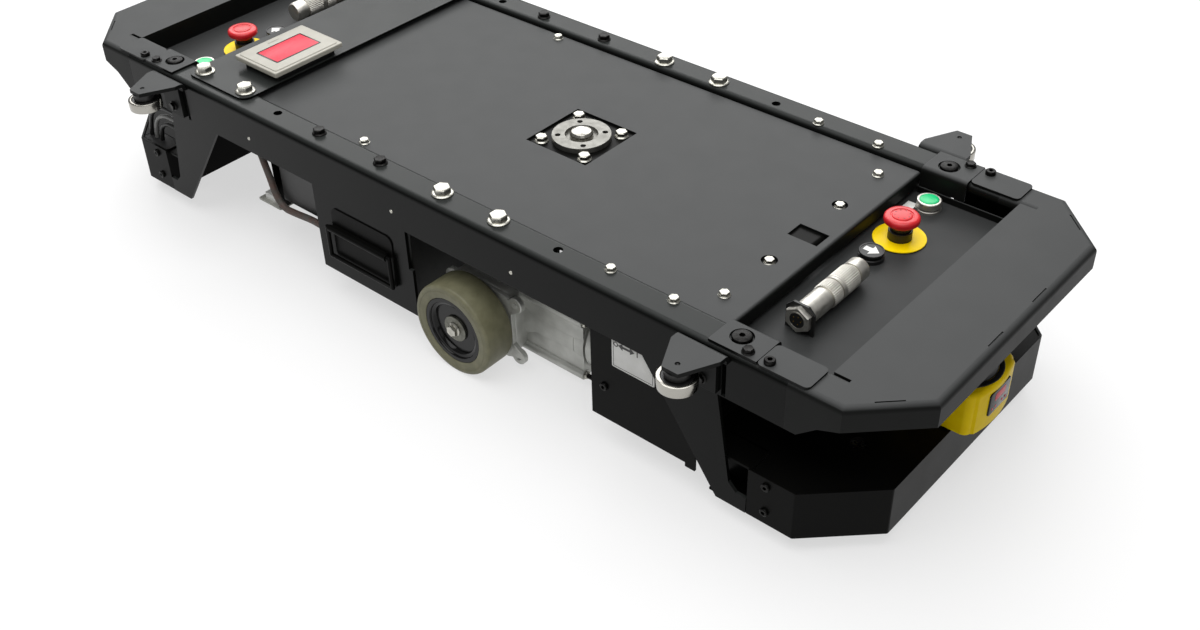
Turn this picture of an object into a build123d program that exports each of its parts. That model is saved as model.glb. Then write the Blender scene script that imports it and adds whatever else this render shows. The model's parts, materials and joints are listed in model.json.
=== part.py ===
from build123d import *
import math
import os

# Whole vehicle in millimetres: +X is the scanner end, +Z is up and the floor is z = 0
body_length = 1308.0
body_width = 450.0
rail_top = 219.0
drive_x = 76.0             # drive axle and tow pin, forward of the middle

# Sheet thickness and bends
frame_sheet = 4.0
cover_sheet = 3.0
thin_sheet = 2.0
inner_bend = 3.0
frame_bend = 4.0           # inside radius of the side frames and head plates
thin_bend = 1.0

# Fits
running_gap = 0.05         # radial, round what turns or slides
part_gap = 0.3             # between pieces of different bodies
hole_gap = 0.25            # radial, round a screw

# Side frames
rail_width = 41.5
rail_side = 58.0
seam_inset = 126.5         # from the end of the vehicle to the joint with the head plate
panel_bottom = 40.5
battery_panel_length = 170.0
wheel_to_panel = 11.0
panel_jog = 6.0
panel_jog_z = 107.0
slot_width = 5.0
slot_low = 162.0
slot_high = 205.0
slot_offset = 24.0         # from the middle of a roller bracket

# Legs, measured back from the end of the vehicle
leg_toe_inset = 164.0
leg_tip_inset = 202.0
leg_ankle_inset = 187.0
leg_top_inset = 205.0
leg_root_inset = 301.0
leg_bottom = 21.5
leg_toe_top = 42.0
leg_ankle_z = 52.0

# Deck, its pocket and its slot
deck_drop = 6.4
deck_gap = 1.5
deck_lip = 17.0
pocket_size = 94.0
slot_inset = 29.2          # from the deck's front edge
slot_y = -3.0
deck_slot_length = 37.5
deck_slot_width = 25.0
clearance_hole_radius = 9.0

# Cross members
member_width = 40.0
member_height = 30.0
hub_member_width = 30.0
hub_member_offset = 58.0
hub_plate_length = 150.0
hub_plate_thickness = 6.0
end_member_inset = 35.0    # from the deck's ends
inner_members = (235.0, -117.5, -250.0)

# Head plates and control pans
head_depth = 101.0
chamfer_x = 65.5
chamfer_y = 63.5
head_flange = 28.8
head_rib_x = 90.0          # where the deep side face starts to rise
head_rib_z = 38.6
pan_depth = 30.0
pan_length = 121.0
pan_side = 8.0
pan_half_width = 178.8
shell_lap = 16.0
tab_slot_length = 29.0
tab_slot_width = 1.6

# Corner plates and arm covers
corner_plate_back = 1.0
corner_plate_length = 57.0
corner_plate_inner = 179.0
corner_plate_outer = 222.0
corner_hole_radius = 12.5
corner_hole_x = 24.2
corner_hole_y = 199.0
cover_length = 59.5
cover_inner = 185.8
cover_outer = 223.2
cover_thickness = 2.5
cover_corner = 6.0

# Skirts
skirt_gap = 0.5
skirt_corner_inset = 106.5
skirt_front_inset = 35.7
skirt_half_front = 157.0
skirt_bottom = 21.5
skirt_top = 84.0
skirt_side_gap = 0.3
skirt_post_length = 31.0
shelf_drop = 2.0           # top of the shelf below the rim of the skirt

# End frames: bulkhead and caster shelf
bulkhead_bottom = 66.0
bulkhead_back = 8.0
shelf_half_width = 190.0
cable_notch_length = 58.0
cable_notch_depth = 26.0
scanner_plate = 2.5
scanner_plate_half = 38.0
scanner_plate_height = 45.0

# Casters
caster_inset = 100.0
caster_y = 120.0
caster_radius = 25.0
caster_width = 20.0
caster_trail = 20.0
caster_plate_size = 60.0
caster_plate_thickness = 3.0
crown_radius = 20.0
crown_height = 8.0
cheek_gap = 1.5
cheek_thickness = 2.5
king_pin_radius = 6.0
caster_axle_radius = 4.0

# Guide rollers
tab_reach = 280.5
tab_thickness = 5.0
tab_half_base = 30.0
tab_half_tip = 9.5
tab_straight = 15.0
tab_corner = 4.0
tab_flange_half = 18.0
tab_flange_bottom = 165.0
tab_hole_radius = 2.75
roller_inset = 12.5
roller_radius = 21.0
roller_width = 13.0
roller_drop = 8.7
roller_bore_radius = 7.5
inner_ring_radius = 10.5
spacer_radius = 13.5
stud_cap_radius = 10.0
stud_cap_height = 4.0

# Drive wheels
wheel_radius = 60.0
tyre_width = 42.0
wheel_outer_face = 236.4
tyre_edge = 4.0
hub_radius = 43.5
hub_lip_radius = 35.0
hub_recess = 7.0
washer_radius = 17.0
washer_thickness = 3.0
shaft_radius = 12.0

# Gearboxes and motors
gearbox_face = 190.0
gearbox_flange = 6.0
gearbox_size = 90.0
gearbox_front = 52.0
gearbox_inner = 104.0
ear_x = 60.0
ear_z = 38.0
ear_radius = 10.0
ear_hole_radius = 3.5
motor_y = 125.0
motor_length = 188.0
motor_square = 100.0
motor_groove = 4.0
motor_round_radius = 43.0
motor_corner = 12.0
motor_screw_offset = 38.0
bracket_inner = 100.0
bracket_flange = 70.0
bracket_bottom = 20.0
bracket_length = 106.0

# Tow pin and its lift
pin_radius = 14.0
pin_top = 222.0
pin_bottom = 132.0
tow_flange_radius = 36.0
tow_flange_height = 7.0
tow_bore_radius = 20.0
tow_bore_depth = 4.6
tow_screw_circle = 28.5
tow_screw_radius = 3.3
lift_radius = 30.0
lift_bottom = 125.0
lift_motor_size = 50.0
lift_motor_height = 42.0

# Emergency stops, front place; the rear ones are turned half round the middle
stop_inset = 87.0          # from the head plate's inner edge
stop_y = 83.0
legend_radius = 30.0
legend_thickness = 2.0
collar_radius = 13.5
collar_top = 12.7
stop_travel = 5.0
stop_cap_radius = 20.0
stop_cap_under = 18.0
stop_cap_height = 14.0
plunger_radius = 11.0
spigot_radius = 3.0
spigot_height = 5.0
stem_radius = 6.0
panel_hole_radius = 11.0
contact_block = 30.0
contact_depth = 38.0

# Push buttons
start_inset = 93.0
start_y = 155.0
start_height = 18.0
arrow_inset = 91.5
arrow_y = 32.0
arrow_height = 11.0
bezel_radius = 14.5
button_radius = 11.0
button_travel = 3.0
start_bezel_height = 11.0
arrow_bezel_height = 5.0

# Plug connectors
plug_inset = 80.0
plug_near = -128.0
plug_far = -10.0
plug_radius = 14.0
plug_lift = 17.0
plug_nut_length = 6.0
plug_bracket_height = 34.0

# Display
display_inset = 73.0       # from the deck's rear end
display_length = 118.0
display_half_width = 210.0
display_corner = 14.0
bezel_offset = 19.5
bezel_y = -102.0
bezel_length = 83.0
bezel_width = 112.0
bezel_height = 17.0
window_length = 44.0
window_width = 74.0
window_depth = 2.0

# Laser scanners
scanner_inset = 108.0
scanner_side_length = 90.0
scanner_bulge = 8.0
scanner_half = 46.0
scanner_height = 52.5
dome_inset = 58.0
dome_radius = 40.0
dome_height = 34.0

# Battery, controller and what hangs below the frame
battery_length = 150.0
battery_width = 190.0
battery_height = 122.0
controller_x = -224.0
controller_length = 68.0
controller_width = 145.0
controller_outer = 205.0
controller_height = 89.6
sensor_x = -270.0
sensor_length = 46.0
sensor_foot = 11.0
sensor_z = 68.0
sensor_outer = 206.0
sensor_width = 26.0
side_panel_back = 279.0
side_panel_front = 421.0
side_panel_rise = 15.0
foot_length = 13.0
foot_drop = 5.5
lid_offset = 31.0          # from the rear edge of the battery panel
lid_length = 108.0
lid_bottom = 65.0
lid_top = 141.0
lid_thickness = 1.5
lid_corner = 10.0
handle_axis_z = 112.0
handle_drop = 42.0
handle_rod_radius = 2.8
handle_overlap = 6.0
handle_inset = 3.0
hinge_tube_radius = 4.2

# Screws: across flats, head height, flange radius, shank radius, shank length
m12_bolt = (18.0, 9.0, 13.0, 6.0, 12.0)
m12_short_bolt = (18.0, 9.0, 13.0, 6.0, 7.4)
m8_bolt = (13.0, 7.0, 8.8, 4.0, 9.0)
m6_bolt = (10.0, 5.0, 6.8, 3.0, 8.0)
rail_bolt_y = 200.0
small_bolt_y = 192.5
big_bolt_places = (43.7, 131.1)
black_bolt_places = (-167.4, -59.1)
small_bolt_insets = (369.0, 286.0)
open_hole_places = (-245.6, 218.4)
open_hole_radius = 5.5
rivet_places = (-281.0, -20.0, 170.0)
rivet_z = 181.0
rivet_radius = 2.4
rivet_head = 1.2
rivet_shank = 1.5
tab_bolt_z = 177.0
corner_screw_y = 214.5
corner_screw_offsets = (43.4, 68.5)
corner_cap_radius = 10.5
corner_cap_height = 5.0
skirt_screw_offset = 23.0
skirt_screw_heights = (73.0, 38.0)
panel_screw = (297.5, 86.3)
deck_bolt_y = 146.4
sunk_bolt_y = 67.4
rear_deck_bolt_y = 173.5
pocket_bolt_offset = 34.0
display_bolt_offset = 41.5
display_bolt_y = 193.0

# Cables
cable_radius = 3.0
cable_side = -207.0
cable_heights = (139.0, 127.0, 115.0)
cable_bend_inset = 163.0
cable_bend_z = 85.0
cable_end_z = 48.0
sensor_box_length = 30.0
sensor_box_height = 18.0
loom_radius = 4.5
loom_points = (
    (-296.0, -209.0, 214.2),
    (-291.0, -210.0, 174.0),
    (-282.0, -211.0, 148.0),
    (-271.0, -212.0, 121.0),
    (-265.0, -212.0, 97.0),
    (-250.0, -212.5, 83.0),
    (-224.0, -212.0, 84.5),
    (-192.0, -211.5, 88.0),
    (-157.7, -211.0, 84.0),
)

# Worked out from the sizes above
end_x = body_length / 2
side_y = body_width / 2
side_inner = side_y - frame_sheet
lip_y = side_y - rail_width
seam_x = end_x - seam_inset
head_inner = end_x - head_depth
chamfer_start = end_x - chamfer_x
front_half = side_y - chamfer_y
rail_bottom = rail_top - rail_side
side_panel_top = rail_bottom + side_panel_rise
deck_top = rail_top - deck_drop
deck_under = deck_top - cover_sheet
deck_half = lip_y - deck_gap
pan_top = rail_top - pan_depth
pan_under = pan_top - thin_sheet
pan_back = head_inner - pan_length
head_under = rail_top - frame_sheet
leg_toe = end_x - leg_toe_inset
tab_x = pan_back
slot_x = pan_back - slot_inset
end_member_x = pan_back - end_member_inset
member_places = (end_member_x, *inner_members, -end_member_x)
stop_x = head_inner - stop_inset
start_x = head_inner - start_inset
arrow_x = head_inner - arrow_inset
plug_x = head_inner - plug_inset
display_x = display_inset - pan_back
bezel_x = display_x + bezel_offset
shelf_top = skirt_top - shelf_drop
shelf_under = shelf_top - cover_sheet
caster_x = end_x - caster_inset
roller_y = tab_reach - roller_inset
scanner_back = end_x - scanner_inset
scanner_corner = scanner_back + scanner_side_length
scanner_nose = scanner_corner + scanner_bulge
scanner_bottom = shelf_top + scanner_plate
scanner_top = scanner_bottom + scanner_height
dome_x = end_x - dome_inset
small_bolt_places = [end_x - inset for inset in small_bolt_insets]
corner_screw_places = [pan_back + offset for offset in corner_screw_offsets]
skirt_screw_x = leg_toe + skirt_screw_offset
cable_bend_x = cable_bend_inset - end_x
panel_front = drive_x - wheel_radius - wheel_to_panel
panel_rear = panel_front - battery_panel_length
hub_plate_under = deck_under - hub_plate_thickness
bulkhead_front = pan_back - bulkhead_back
bulkhead_rear = bulkhead_front - cover_sheet
member_ends = side_inner
tow_flange_top = deck_under + tow_flange_height
wheel_inner_face = wheel_outer_face - tyre_width
motor_start = drive_x + gearbox_front
display_base_top = rail_top + cover_sheet
tab_under = rail_top - tab_thickness
roller_top = tab_under - roller_drop
roller_bottom = roller_top - roller_width
legend_top = pan_top + legend_thickness
cap_under = pan_top + stop_cap_under
lid_left = panel_rear + lid_offset
lid_right = lid_left + lid_length
handle_left = lid_left - handle_overlap
handle_right = lid_right - handle_inset
controller_bottom = deck_under - member_height - controller_height
display_bolt_places = (display_x - display_bolt_offset, display_x + display_bolt_offset)
corner_cap_x = pan_back + corner_plate_back + corner_hole_x
cable_start = -bulkhead_front - 0.6


def block(x0, x1, y0, y1, z0, z1):
    return Pos((x0 + x1) / 2, (y0 + y1) / 2, (z0 + z1) / 2) * Box(x1 - x0, y1 - y0, z1 - z0)


def post(x, y, z, radius, height):
    return Pos(x, y, z + height / 2) * Cylinder(radius, height)


def turned(profile):
    # Profile points are radius and height about the Z axis
    return revolve(Plane.XZ * make_face(Polyline(*profile, close=True)), Axis.Z)


def prism_z(outline, z0, z1):
    face = outline if isinstance(outline, Sketch) else make_face(Polyline(*outline, close=True))
    return Pos(0, 0, z0) * extrude(face, amount=z1 - z0)


def prism_y(outline, y0, y1):
    # Outline points are x and z
    face = outline if isinstance(outline, Sketch) else make_face(Polyline(*outline, close=True))
    return Pos(0, y1, 0) * extrude(Plane.XZ * face, amount=y1 - y0)


def prism_x(outline, x0, x1):
    # Outline points are y and z
    face = outline if isinstance(outline, Sketch) else make_face(Polyline(*outline, close=True))
    return Pos(x0, 0, 0) * extrude(Plane.YZ * face, amount=x1 - x0)


def offset_path(points, distance):
    # Moves each straight run to its left by the distance and joins the runs again
    runs = []
    for (xa, ya), (xb, yb) in zip(points, points[1:]):
        length = math.hypot(xb - xa, yb - ya)
        shift_x = -(yb - ya) / length * distance
        shift_y = (xb - xa) / length * distance
        runs.append(((xa + shift_x, ya + shift_y), (xb - xa, yb - ya)))
    path = [runs[0][0]]
    for (start, along), (after, beside) in zip(runs, runs[1:]):
        cross = along[0] * beside[1] - along[1] * beside[0]
        share = ((after[0] - start[0]) * beside[1] - (after[1] - start[1]) * beside[0]) / cross
        path.append((start[0] + share * along[0], start[1] + share * along[1]))
    last, direction = runs[-1]
    path.append((last[0] + direction[0], last[1] + direction[1]))
    return path


def folded(points, thickness, bend):
    # Section of a bent sheet: its mould line, with the thickness to the left of it, or right if negative
    inner = offset_path(points, thickness)
    outer_radii = []
    inner_radii = []
    for a, b, c in zip(points, points[1:], points[2:]):
        turn = (b[0] - a[0]) * (c[1] - b[1]) - (b[1] - a[1]) * (c[0] - b[0])
        towards = turn * thickness > 0
        outer_radii.append(bend + abs(thickness) if towards else bend)
        inner_radii.append(bend if towards else bend + abs(thickness))
    skin = FilletPolyline(*points, radius=outer_radii)
    core = FilletPolyline(*inner, radius=inner_radii)
    closing = [Edge.make_line(points[-1], inner[-1]), Edge.make_line(inner[0], points[0])]
    return make_face([*skin.edges(), *core.edges(), *closing])


def right_of(part):
    return mirror(part, Plane.XZ)


def rear_of(part):
    return Rot(0, 0, 180) * part


def both_sides(part):
    return [part, right_of(part)]


def four_corners(part):
    return [part, right_of(part), mirror(part, Plane.YZ), rear_of(part)]


def flange_bolt(size):
    across, head, flange, shank, length = size
    rim = head * 0.2
    hexagon = extrude(RegularPolygon(across / 2, 6, major_radius=False), head)
    return hexagon + post(0, 0, 0, flange, rim) + post(0, 0, -length, shank, length)


def button_screw(radius, height, shank, length):
    head = turned([(0, 0), (radius, 0), (radius * 0.8, height * 0.7), (radius * 0.5, height), (0, height)])
    return head + post(0, 0, -length, shank, length)


def outward(part, x, z, y=side_y):
    # Stands a screw made along Z on the left side face
    return Pos(x, y, z) * Rot(-90, 0, 0) * part


def side_frame(side):
    path = [(lip_y, deck_under), (lip_y, rail_top), (side_y, rail_top), (side_y, rail_bottom)]
    frame = prism_x(folded(path, -frame_sheet, frame_bend), -seam_x, seam_x)
    leg = [
        (end_x - leg_root_inset, rail_bottom),
        (end_x - leg_tip_inset, leg_bottom),
        (leg_toe, leg_bottom),
        (leg_toe, leg_toe_top),
        (end_x - leg_ankle_inset + 10, leg_toe_top),
        (end_x - leg_ankle_inset, leg_ankle_z),
        (end_x - leg_top_inset, rail_bottom),
        (end_x - leg_top_inset, rail_bottom + inner_bend),
        (end_x - leg_root_inset, rail_bottom + inner_bend),
    ]
    front_leg = prism_y(leg, side_inner, side_y)
    frame += front_leg
    frame += mirror(front_leg, Plane.YZ)
    panel = [
        (panel_rear, rail_bottom + inner_bend),
        (panel_rear, panel_bottom),
        (panel_front, panel_bottom),
        (panel_front, panel_jog_z),
        (panel_front - panel_jog, panel_jog_z),
        (panel_front - panel_jog, rail_bottom + inner_bend),
    ]
    frame += prism_y(panel, side_inner, side_y)
    for x in open_hole_places:
        frame -= post(x, rail_bolt_y, head_under - 1, open_hole_radius, frame_sheet + 2)
    for places, size, y in (
        (big_bolt_places, m12_bolt, rail_bolt_y),
        (black_bolt_places, m8_bolt, rail_bolt_y),
        (small_bolt_places, m6_bolt, small_bolt_y),
    ):
        for x in places:
            frame -= post(x, y, head_under - 1, size[3] + hole_gap, frame_sheet + 2)
    for x in display_bolt_places:
        frame -= post(x, display_bolt_y, head_under - 1, m12_bolt[3] + hole_gap, frame_sheet + 2)
    for x in (tab_x, -tab_x):
        slot_middle = x + slot_offset
        frame -= block(
            slot_middle - slot_width / 2, slot_middle + slot_width / 2,
            side_inner - 1, side_y + 1, slot_low, slot_high,
        )
        frame -= outward(post(0, 0, -8, m6_bolt[3] + hole_gap, 10), x, tab_bolt_z)
    for x in (corner_cap_x, -corner_cap_x):
        frame -= post(x, corner_hole_y, head_under - 1, m8_bolt[3] + hole_gap, frame_sheet + 2)
    for x in rivet_places:
        frame -= outward(post(0, 0, -8, rivet_shank, 10), x, rivet_z)
    for x in corner_screw_places:
        frame -= post(x, corner_screw_y, head_under - 1, m6_bolt[3] + hole_gap, frame_sheet + 2)
        frame -= post(-x, corner_screw_y, head_under - 1, m6_bolt[3] + hole_gap, frame_sheet + 2)
    return frame if side == "left" else right_of(frame)


def deck_plate():
    lip_low = deck_top - deck_lip
    path = [(pan_back, lip_low), (pan_back, deck_top), (-pan_back, deck_top), (-pan_back, lip_low)]
    deck = prism_y(folded(path, cover_sheet, thin_bend), -deck_half, deck_half)
    cut = deck_under - 1
    height = cover_sheet + 2
    half = pocket_size / 2
    deck -= block(drive_x - half, drive_x + half, -half, half, cut, cut + height)
    deck -= Pos(slot_x, slot_y, deck_top) * Box(deck_slot_length, deck_slot_width, 4 * cover_sheet)
    for y in (-deck_bolt_y, deck_bolt_y):
        deck -= post(member_places[0], y, cut, m6_bolt[3] + hole_gap, height)
    for y in (-sunk_bolt_y, sunk_bolt_y):
        deck -= post(member_places[0], y, cut, clearance_hole_radius, height)
    for y in (-rear_deck_bolt_y, rear_deck_bolt_y):
        deck -= post(member_places[2], y, cut, m6_bolt[3] + hole_gap, height)
    return deck


def channel(x, width, top):
    low = top - member_height
    path = [(x - width / 2, low), (x - width / 2, top), (x + width / 2, top), (x + width / 2, low)]
    return prism_y(folded(path, -cover_sheet, inner_bend), -member_ends, member_ends)


def cross_members():
    members = [channel(x, member_width, deck_under) for x in member_places]
    for y in (-deck_bolt_y, deck_bolt_y, -sunk_bolt_y, sunk_bolt_y):
        members[0] -= post(member_places[0], y, deck_under - 5, m6_bolt[3] + hole_gap, 6)
    for y in (-rear_deck_bolt_y, rear_deck_bolt_y):
        members[2] -= post(member_places[2], y, deck_under - 5, m6_bolt[3] + hole_gap, 6)
    for offset in (-hub_member_offset, hub_member_offset):
        members.append(channel(drive_x + offset, hub_member_width, hub_plate_under))
    return members


def hub_plate():
    half = hub_plate_length / 2
    plate = block(drive_x - half, drive_x + half, -half, half, hub_plate_under, deck_under)
    plate -= post(drive_x, 0, hub_plate_under - 1, pin_radius + 1, hub_plate_thickness + 2)
    for dx in (-pocket_bolt_offset, pocket_bolt_offset):
        for dy in (-pocket_bolt_offset, pocket_bolt_offset):
            hole = m8_bolt[3] + hole_gap
            plate -= post(drive_x + dx, dy, hub_plate_under - 1, hole, hub_plate_thickness + 2)
    return plate


def tow_flange():
    ring = post(0, 0, 0, tow_flange_radius, tow_flange_height)
    ring -= post(0, 0, tow_flange_height - tow_bore_depth, tow_bore_radius, tow_bore_depth + 1)
    ring -= post(0, 0, -1, pin_radius + running_gap, tow_flange_height + 2)
    for index in range(4):
        place = Rot(0, 0, 45 + 90 * index) * Pos(tow_screw_circle, 0, 0)
        ring -= place * Pos(0, 0, tow_flange_height / 2) * Cylinder(tow_screw_radius, tow_flange_height + 2)
    return Pos(drive_x, 0, deck_under) * ring


def tow_pin():
    profile = [
        (0, pin_bottom),
        (pin_radius, pin_bottom),
        (pin_radius, pin_top - 5),
        (pin_radius * 0.86, pin_top - 1.5),
        (pin_radius * 0.5, pin_top),
        (0, pin_top),
    ]
    return Pos(drive_x, 0, 0) * turned(profile)


def tow_lift_unit():
    collar = tow_flange_radius
    unit = post(0, 0, lift_bottom, lift_radius, hub_plate_under - lift_bottom)
    unit += post(0, 0, hub_plate_under - 6, collar, 6)
    unit += block(
        -lift_motor_size / 2, lift_motor_size / 2, -lift_motor_size / 2, lift_motor_size / 2,
        lift_bottom - lift_motor_height, lift_bottom,
    )
    unit -= post(0, 0, pin_bottom - part_gap, pin_radius + part_gap, hub_plate_under)
    for dx in (-pocket_bolt_offset, pocket_bolt_offset):
        for dy in (-pocket_bolt_offset, pocket_bolt_offset):
            unit -= post(dx, dy, hub_plate_under - 8, m8_bolt[2], 9)
    return Pos(drive_x, 0, 0) * unit


def head_shell():
    # Flat top with a rounded rim along the chamfers and the end, hollow below
    back = chamfer_start - shell_lap
    rim_path = [
        (back, side_y), (chamfer_start, side_y), (end_x, front_half),
        (end_x, -front_half), (chamfer_start, -side_y), (back, -side_y),
    ]
    low = rail_top - head_flange
    shell = prism_z(rim_path, low, rail_top)
    rim = [edge for edge in shell.edges().filter_by_position(Axis.Z, rail_top, rail_top)
           if edge.center().X > back + 1]
    shell = fillet(rim, frame_bend + frame_sheet)
    core = prism_z(offset_path(rim_path, -frame_sheet), low - 1, head_under)
    core = fillet([edge for edge in core.edges().filter_by_position(Axis.Z, head_under, head_under)
                   if edge.center().X > back + 1], frame_bend)
    return shell - core


def head_plate():
    arm_path = [(lip_y, deck_under), (lip_y, rail_top), (side_y, rail_top), (side_y, rail_bottom)]
    back = chamfer_start - shell_lap
    arm = prism_x(folded(arm_path, -frame_sheet, frame_bend), seam_x, back)
    arm += block(back, chamfer_start, side_inner, side_y, rail_bottom, rail_top - head_flange)
    rise = [
        (end_x - head_rib_x - 24, rail_bottom - 1),
        (end_x - head_rib_x, rail_top - head_rib_z),
        (chamfer_start, rail_top - head_flange),
        (chamfer_start + 1, rail_bottom - 1),
    ]
    arm -= prism_y(rise, side_inner - 1, side_y + 1)
    plate = head_shell() + block(head_inner, back, -lip_y - 1, lip_y + 1, head_under, rail_top)
    for sign in (1, -1):
        middle_x = end_x - chamfer_x / 2
        middle_y = sign * (side_y - chamfer_y / 2)
        turn = -sign * math.degrees(math.atan2(chamfer_y, chamfer_x))
        inward = -sign * (frame_bend + frame_sheet)
        slot = Rot(0, 0, turn) * Pos(0, inward, 0) * Box(tab_slot_length, tab_slot_width, 3)
        plate -= Pos(middle_x, middle_y, rail_top) * slot
        front_slot = Box(tab_slot_width, tab_slot_length, 3)
        plate -= Pos(end_x - frame_bend - frame_sheet, sign * front_half * 0.28, rail_top) * front_slot
    return plate + arm + right_of(arm)


def recess_pan():
    front = head_inner + thin_sheet
    path = [(pan_back - 14, pan_under), (front, pan_under), (front, head_under)]
    pan = prism_y(folded(path, thin_sheet, thin_bend), -pan_half_width, pan_half_width)
    for sign in (1, -1):
        low, high = sorted((sign * pan_half_width, sign * (pan_half_width - thin_sheet)))
        pan += block(pan_back + 1, head_inner, low, high, pan_top, pan_top + pan_side)
    for x, y, radius in (
        (stop_x, stop_y, panel_hole_radius),
        (start_x, start_y, panel_hole_radius),
        (arrow_x, arrow_y, panel_hole_radius),
    ):
        pan -= post(x, y, pan_under - 1, radius + hole_gap, thin_sheet + 2)
    return pan


def corner_plate():
    start = pan_back + corner_plate_back
    top = rail_top + cover_sheet
    low = pan_top + pan_side + part_gap
    path = [(corner_plate_inner, low), (corner_plate_inner, top), (corner_plate_outer, top)]
    plate = prism_x(folded(path, -cover_sheet, inner_bend), start, start + corner_plate_length)
    plate -= post(start + corner_hole_x, corner_hole_y, rail_top - 1, corner_hole_radius, cover_sheet + 2)
    screw_hole = m6_bolt[3] + hole_gap
    return plate - post(corner_screw_places[0], corner_screw_y, rail_top - 1, screw_hole, cover_sheet + 2)


def arm_cover():
    start = pan_back + corner_plate_back + corner_plate_length + part_gap
    middle_y = (cover_inner + cover_outer) / 2
    plan = Pos(start + cover_length / 2, middle_y) * RectangleRounded(
        cover_length, cover_outer - cover_inner, cover_corner)
    cover = prism_z(plan, rail_top, rail_top + cover_thickness)
    return cover - post(corner_screw_places[1], corner_screw_y, rail_top - 1, m6_bolt[3] + hole_gap, 5)


def skirt_outline():
    outer_y = side_y - skirt_side_gap
    back = leg_toe + skirt_gap
    corner = end_x - skirt_corner_inset
    front = end_x - skirt_front_inset
    return [
        (back, outer_y), (corner, outer_y), (front, skirt_half_front),
        (front, -skirt_half_front), (corner, -outer_y), (back, -outer_y),
    ]


def skirt():
    # Bent wall round the end, closed behind by a wall with a higher post at each side
    wall = skirt_outline()
    back, outer_y = wall[0]
    ring = prism_z(folded(wall, -cover_sheet, thin_bend), skirt_bottom, skirt_top)
    inner_y = outer_y - cover_sheet
    ring += block(back, back + cover_sheet, -inner_y, inner_y, skirt_bottom, shelf_under)
    for sign in (1, -1):
        low, high = sorted((sign * (inner_y - skirt_post_length), sign * inner_y))
        ring += block(back, back + cover_sheet, low, high, skirt_bottom, skirt_top)
        for z in skirt_screw_heights:
            hole = Cylinder(m6_bolt[3] + hole_gap, 12)
            ring -= Pos(skirt_screw_x, sign * outer_y, z) * Rot(90, 0, 0) * hole
    return ring


def end_frame():
    # Bulkhead, and the shelf that carries the casters and closes the top of the skirt
    bulkhead = block(bulkhead_rear, bulkhead_front, -side_inner, side_inner, bulkhead_bottom, pan_under)
    inside = offset_path(skirt_outline(), -cover_sheet - part_gap)
    back = inside[0][0] + cover_sheet + part_gap
    inside[0] = (back, inside[0][1])
    inside[-1] = (back, inside[-1][1])
    outline = [(bulkhead_front, shelf_half_width), (back, shelf_half_width), *inside]
    outline += [(back, -shelf_half_width), (bulkhead_front, -shelf_half_width)]
    shelf = prism_z(outline, shelf_under, shelf_top)
    shelf -= block(
        back - 1, back + cable_notch_length, side_inner - cable_notch_depth, side_y,
        shelf_under - 1, shelf_top + 1,
    )
    for sign in (1, -1):
        shelf -= post(caster_x, sign * caster_y, shelf_under - 1, king_pin_radius + 3, cover_sheet + 2)
    stand_x = scanner_back - scanner_plate - thin_bend
    path = [
        (end_x - skirt_front_inset - 6, shelf_top),
        (stand_x, shelf_top),
        (stand_x, shelf_top + scanner_plate_height),
    ]
    stand = prism_y(folded(path, -scanner_plate, thin_bend), -scanner_plate_half, scanner_plate_half)
    return [bulkhead + shelf, stand]


def caster_plate(x, y):
    half = caster_plate_size / 2
    top = shelf_under
    plate = block(x - half, x + half, y - half, y + half, top - caster_plate_thickness, top)
    crown_low = top - caster_plate_thickness - part_gap - crown_height
    pin_low = crown_low - part_gap - 3
    plate += post(x, y, pin_low, king_pin_radius, top - pin_low)
    return plate + post(x, y, pin_low, king_pin_radius + 3, 3)


def caster_fork(x, y):
    crown_high = shelf_under - caster_plate_thickness - part_gap
    crown_low = crown_high - crown_height
    half = caster_width / 2 + cheek_gap
    fork = post(0, 0, crown_low, crown_radius, crown_height)
    axle_x = -caster_trail
    cheek = [
        (-crown_radius + 3, crown_high - 1),
        (crown_radius - 9, crown_high - 1),
        (crown_radius - 9, crown_low - 2),
        (axle_x + 8, caster_radius - 3),
        (axle_x + 4, caster_radius - 8),
        (axle_x - 4, caster_radius - 8),
        (axle_x - 8, caster_radius),
    ]
    for sign in (1, -1):
        low, high = sorted((sign * half, sign * (half + cheek_thickness)))
        fork += prism_y(cheek, low, high)
    fork -= post(0, 0, crown_low - 1, king_pin_radius + running_gap, crown_height + 2)
    axle_length = 2 * half + 2 * cheek_thickness + 4
    axle = Pos(axle_x, 0, caster_radius) * Rot(90, 0, 0) * Cylinder(caster_axle_radius, axle_length)
    return Pos(x, y, 0) * (fork + axle)


def caster_wheel(x, y):
    half = caster_width / 2
    bore = caster_axle_radius + running_gap
    rim = caster_radius * 0.62
    profile = [
        (bore, -half), (bore + 5, -half), (bore + 5, -half * 0.55), (rim, -half * 0.55), (rim, -half * 0.9),
        (caster_radius - 4, -half), (caster_radius, -half * 0.6), (caster_radius, half * 0.6),
        (caster_radius - 4, half), (rim, half * 0.9), (rim, half * 0.55), (bore + 5, half * 0.55),
        (bore + 5, half), (bore, half),
    ]
    return Pos(x - caster_trail, y, caster_radius) * Rot(-90, 0, 0) * turned(profile)


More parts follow.
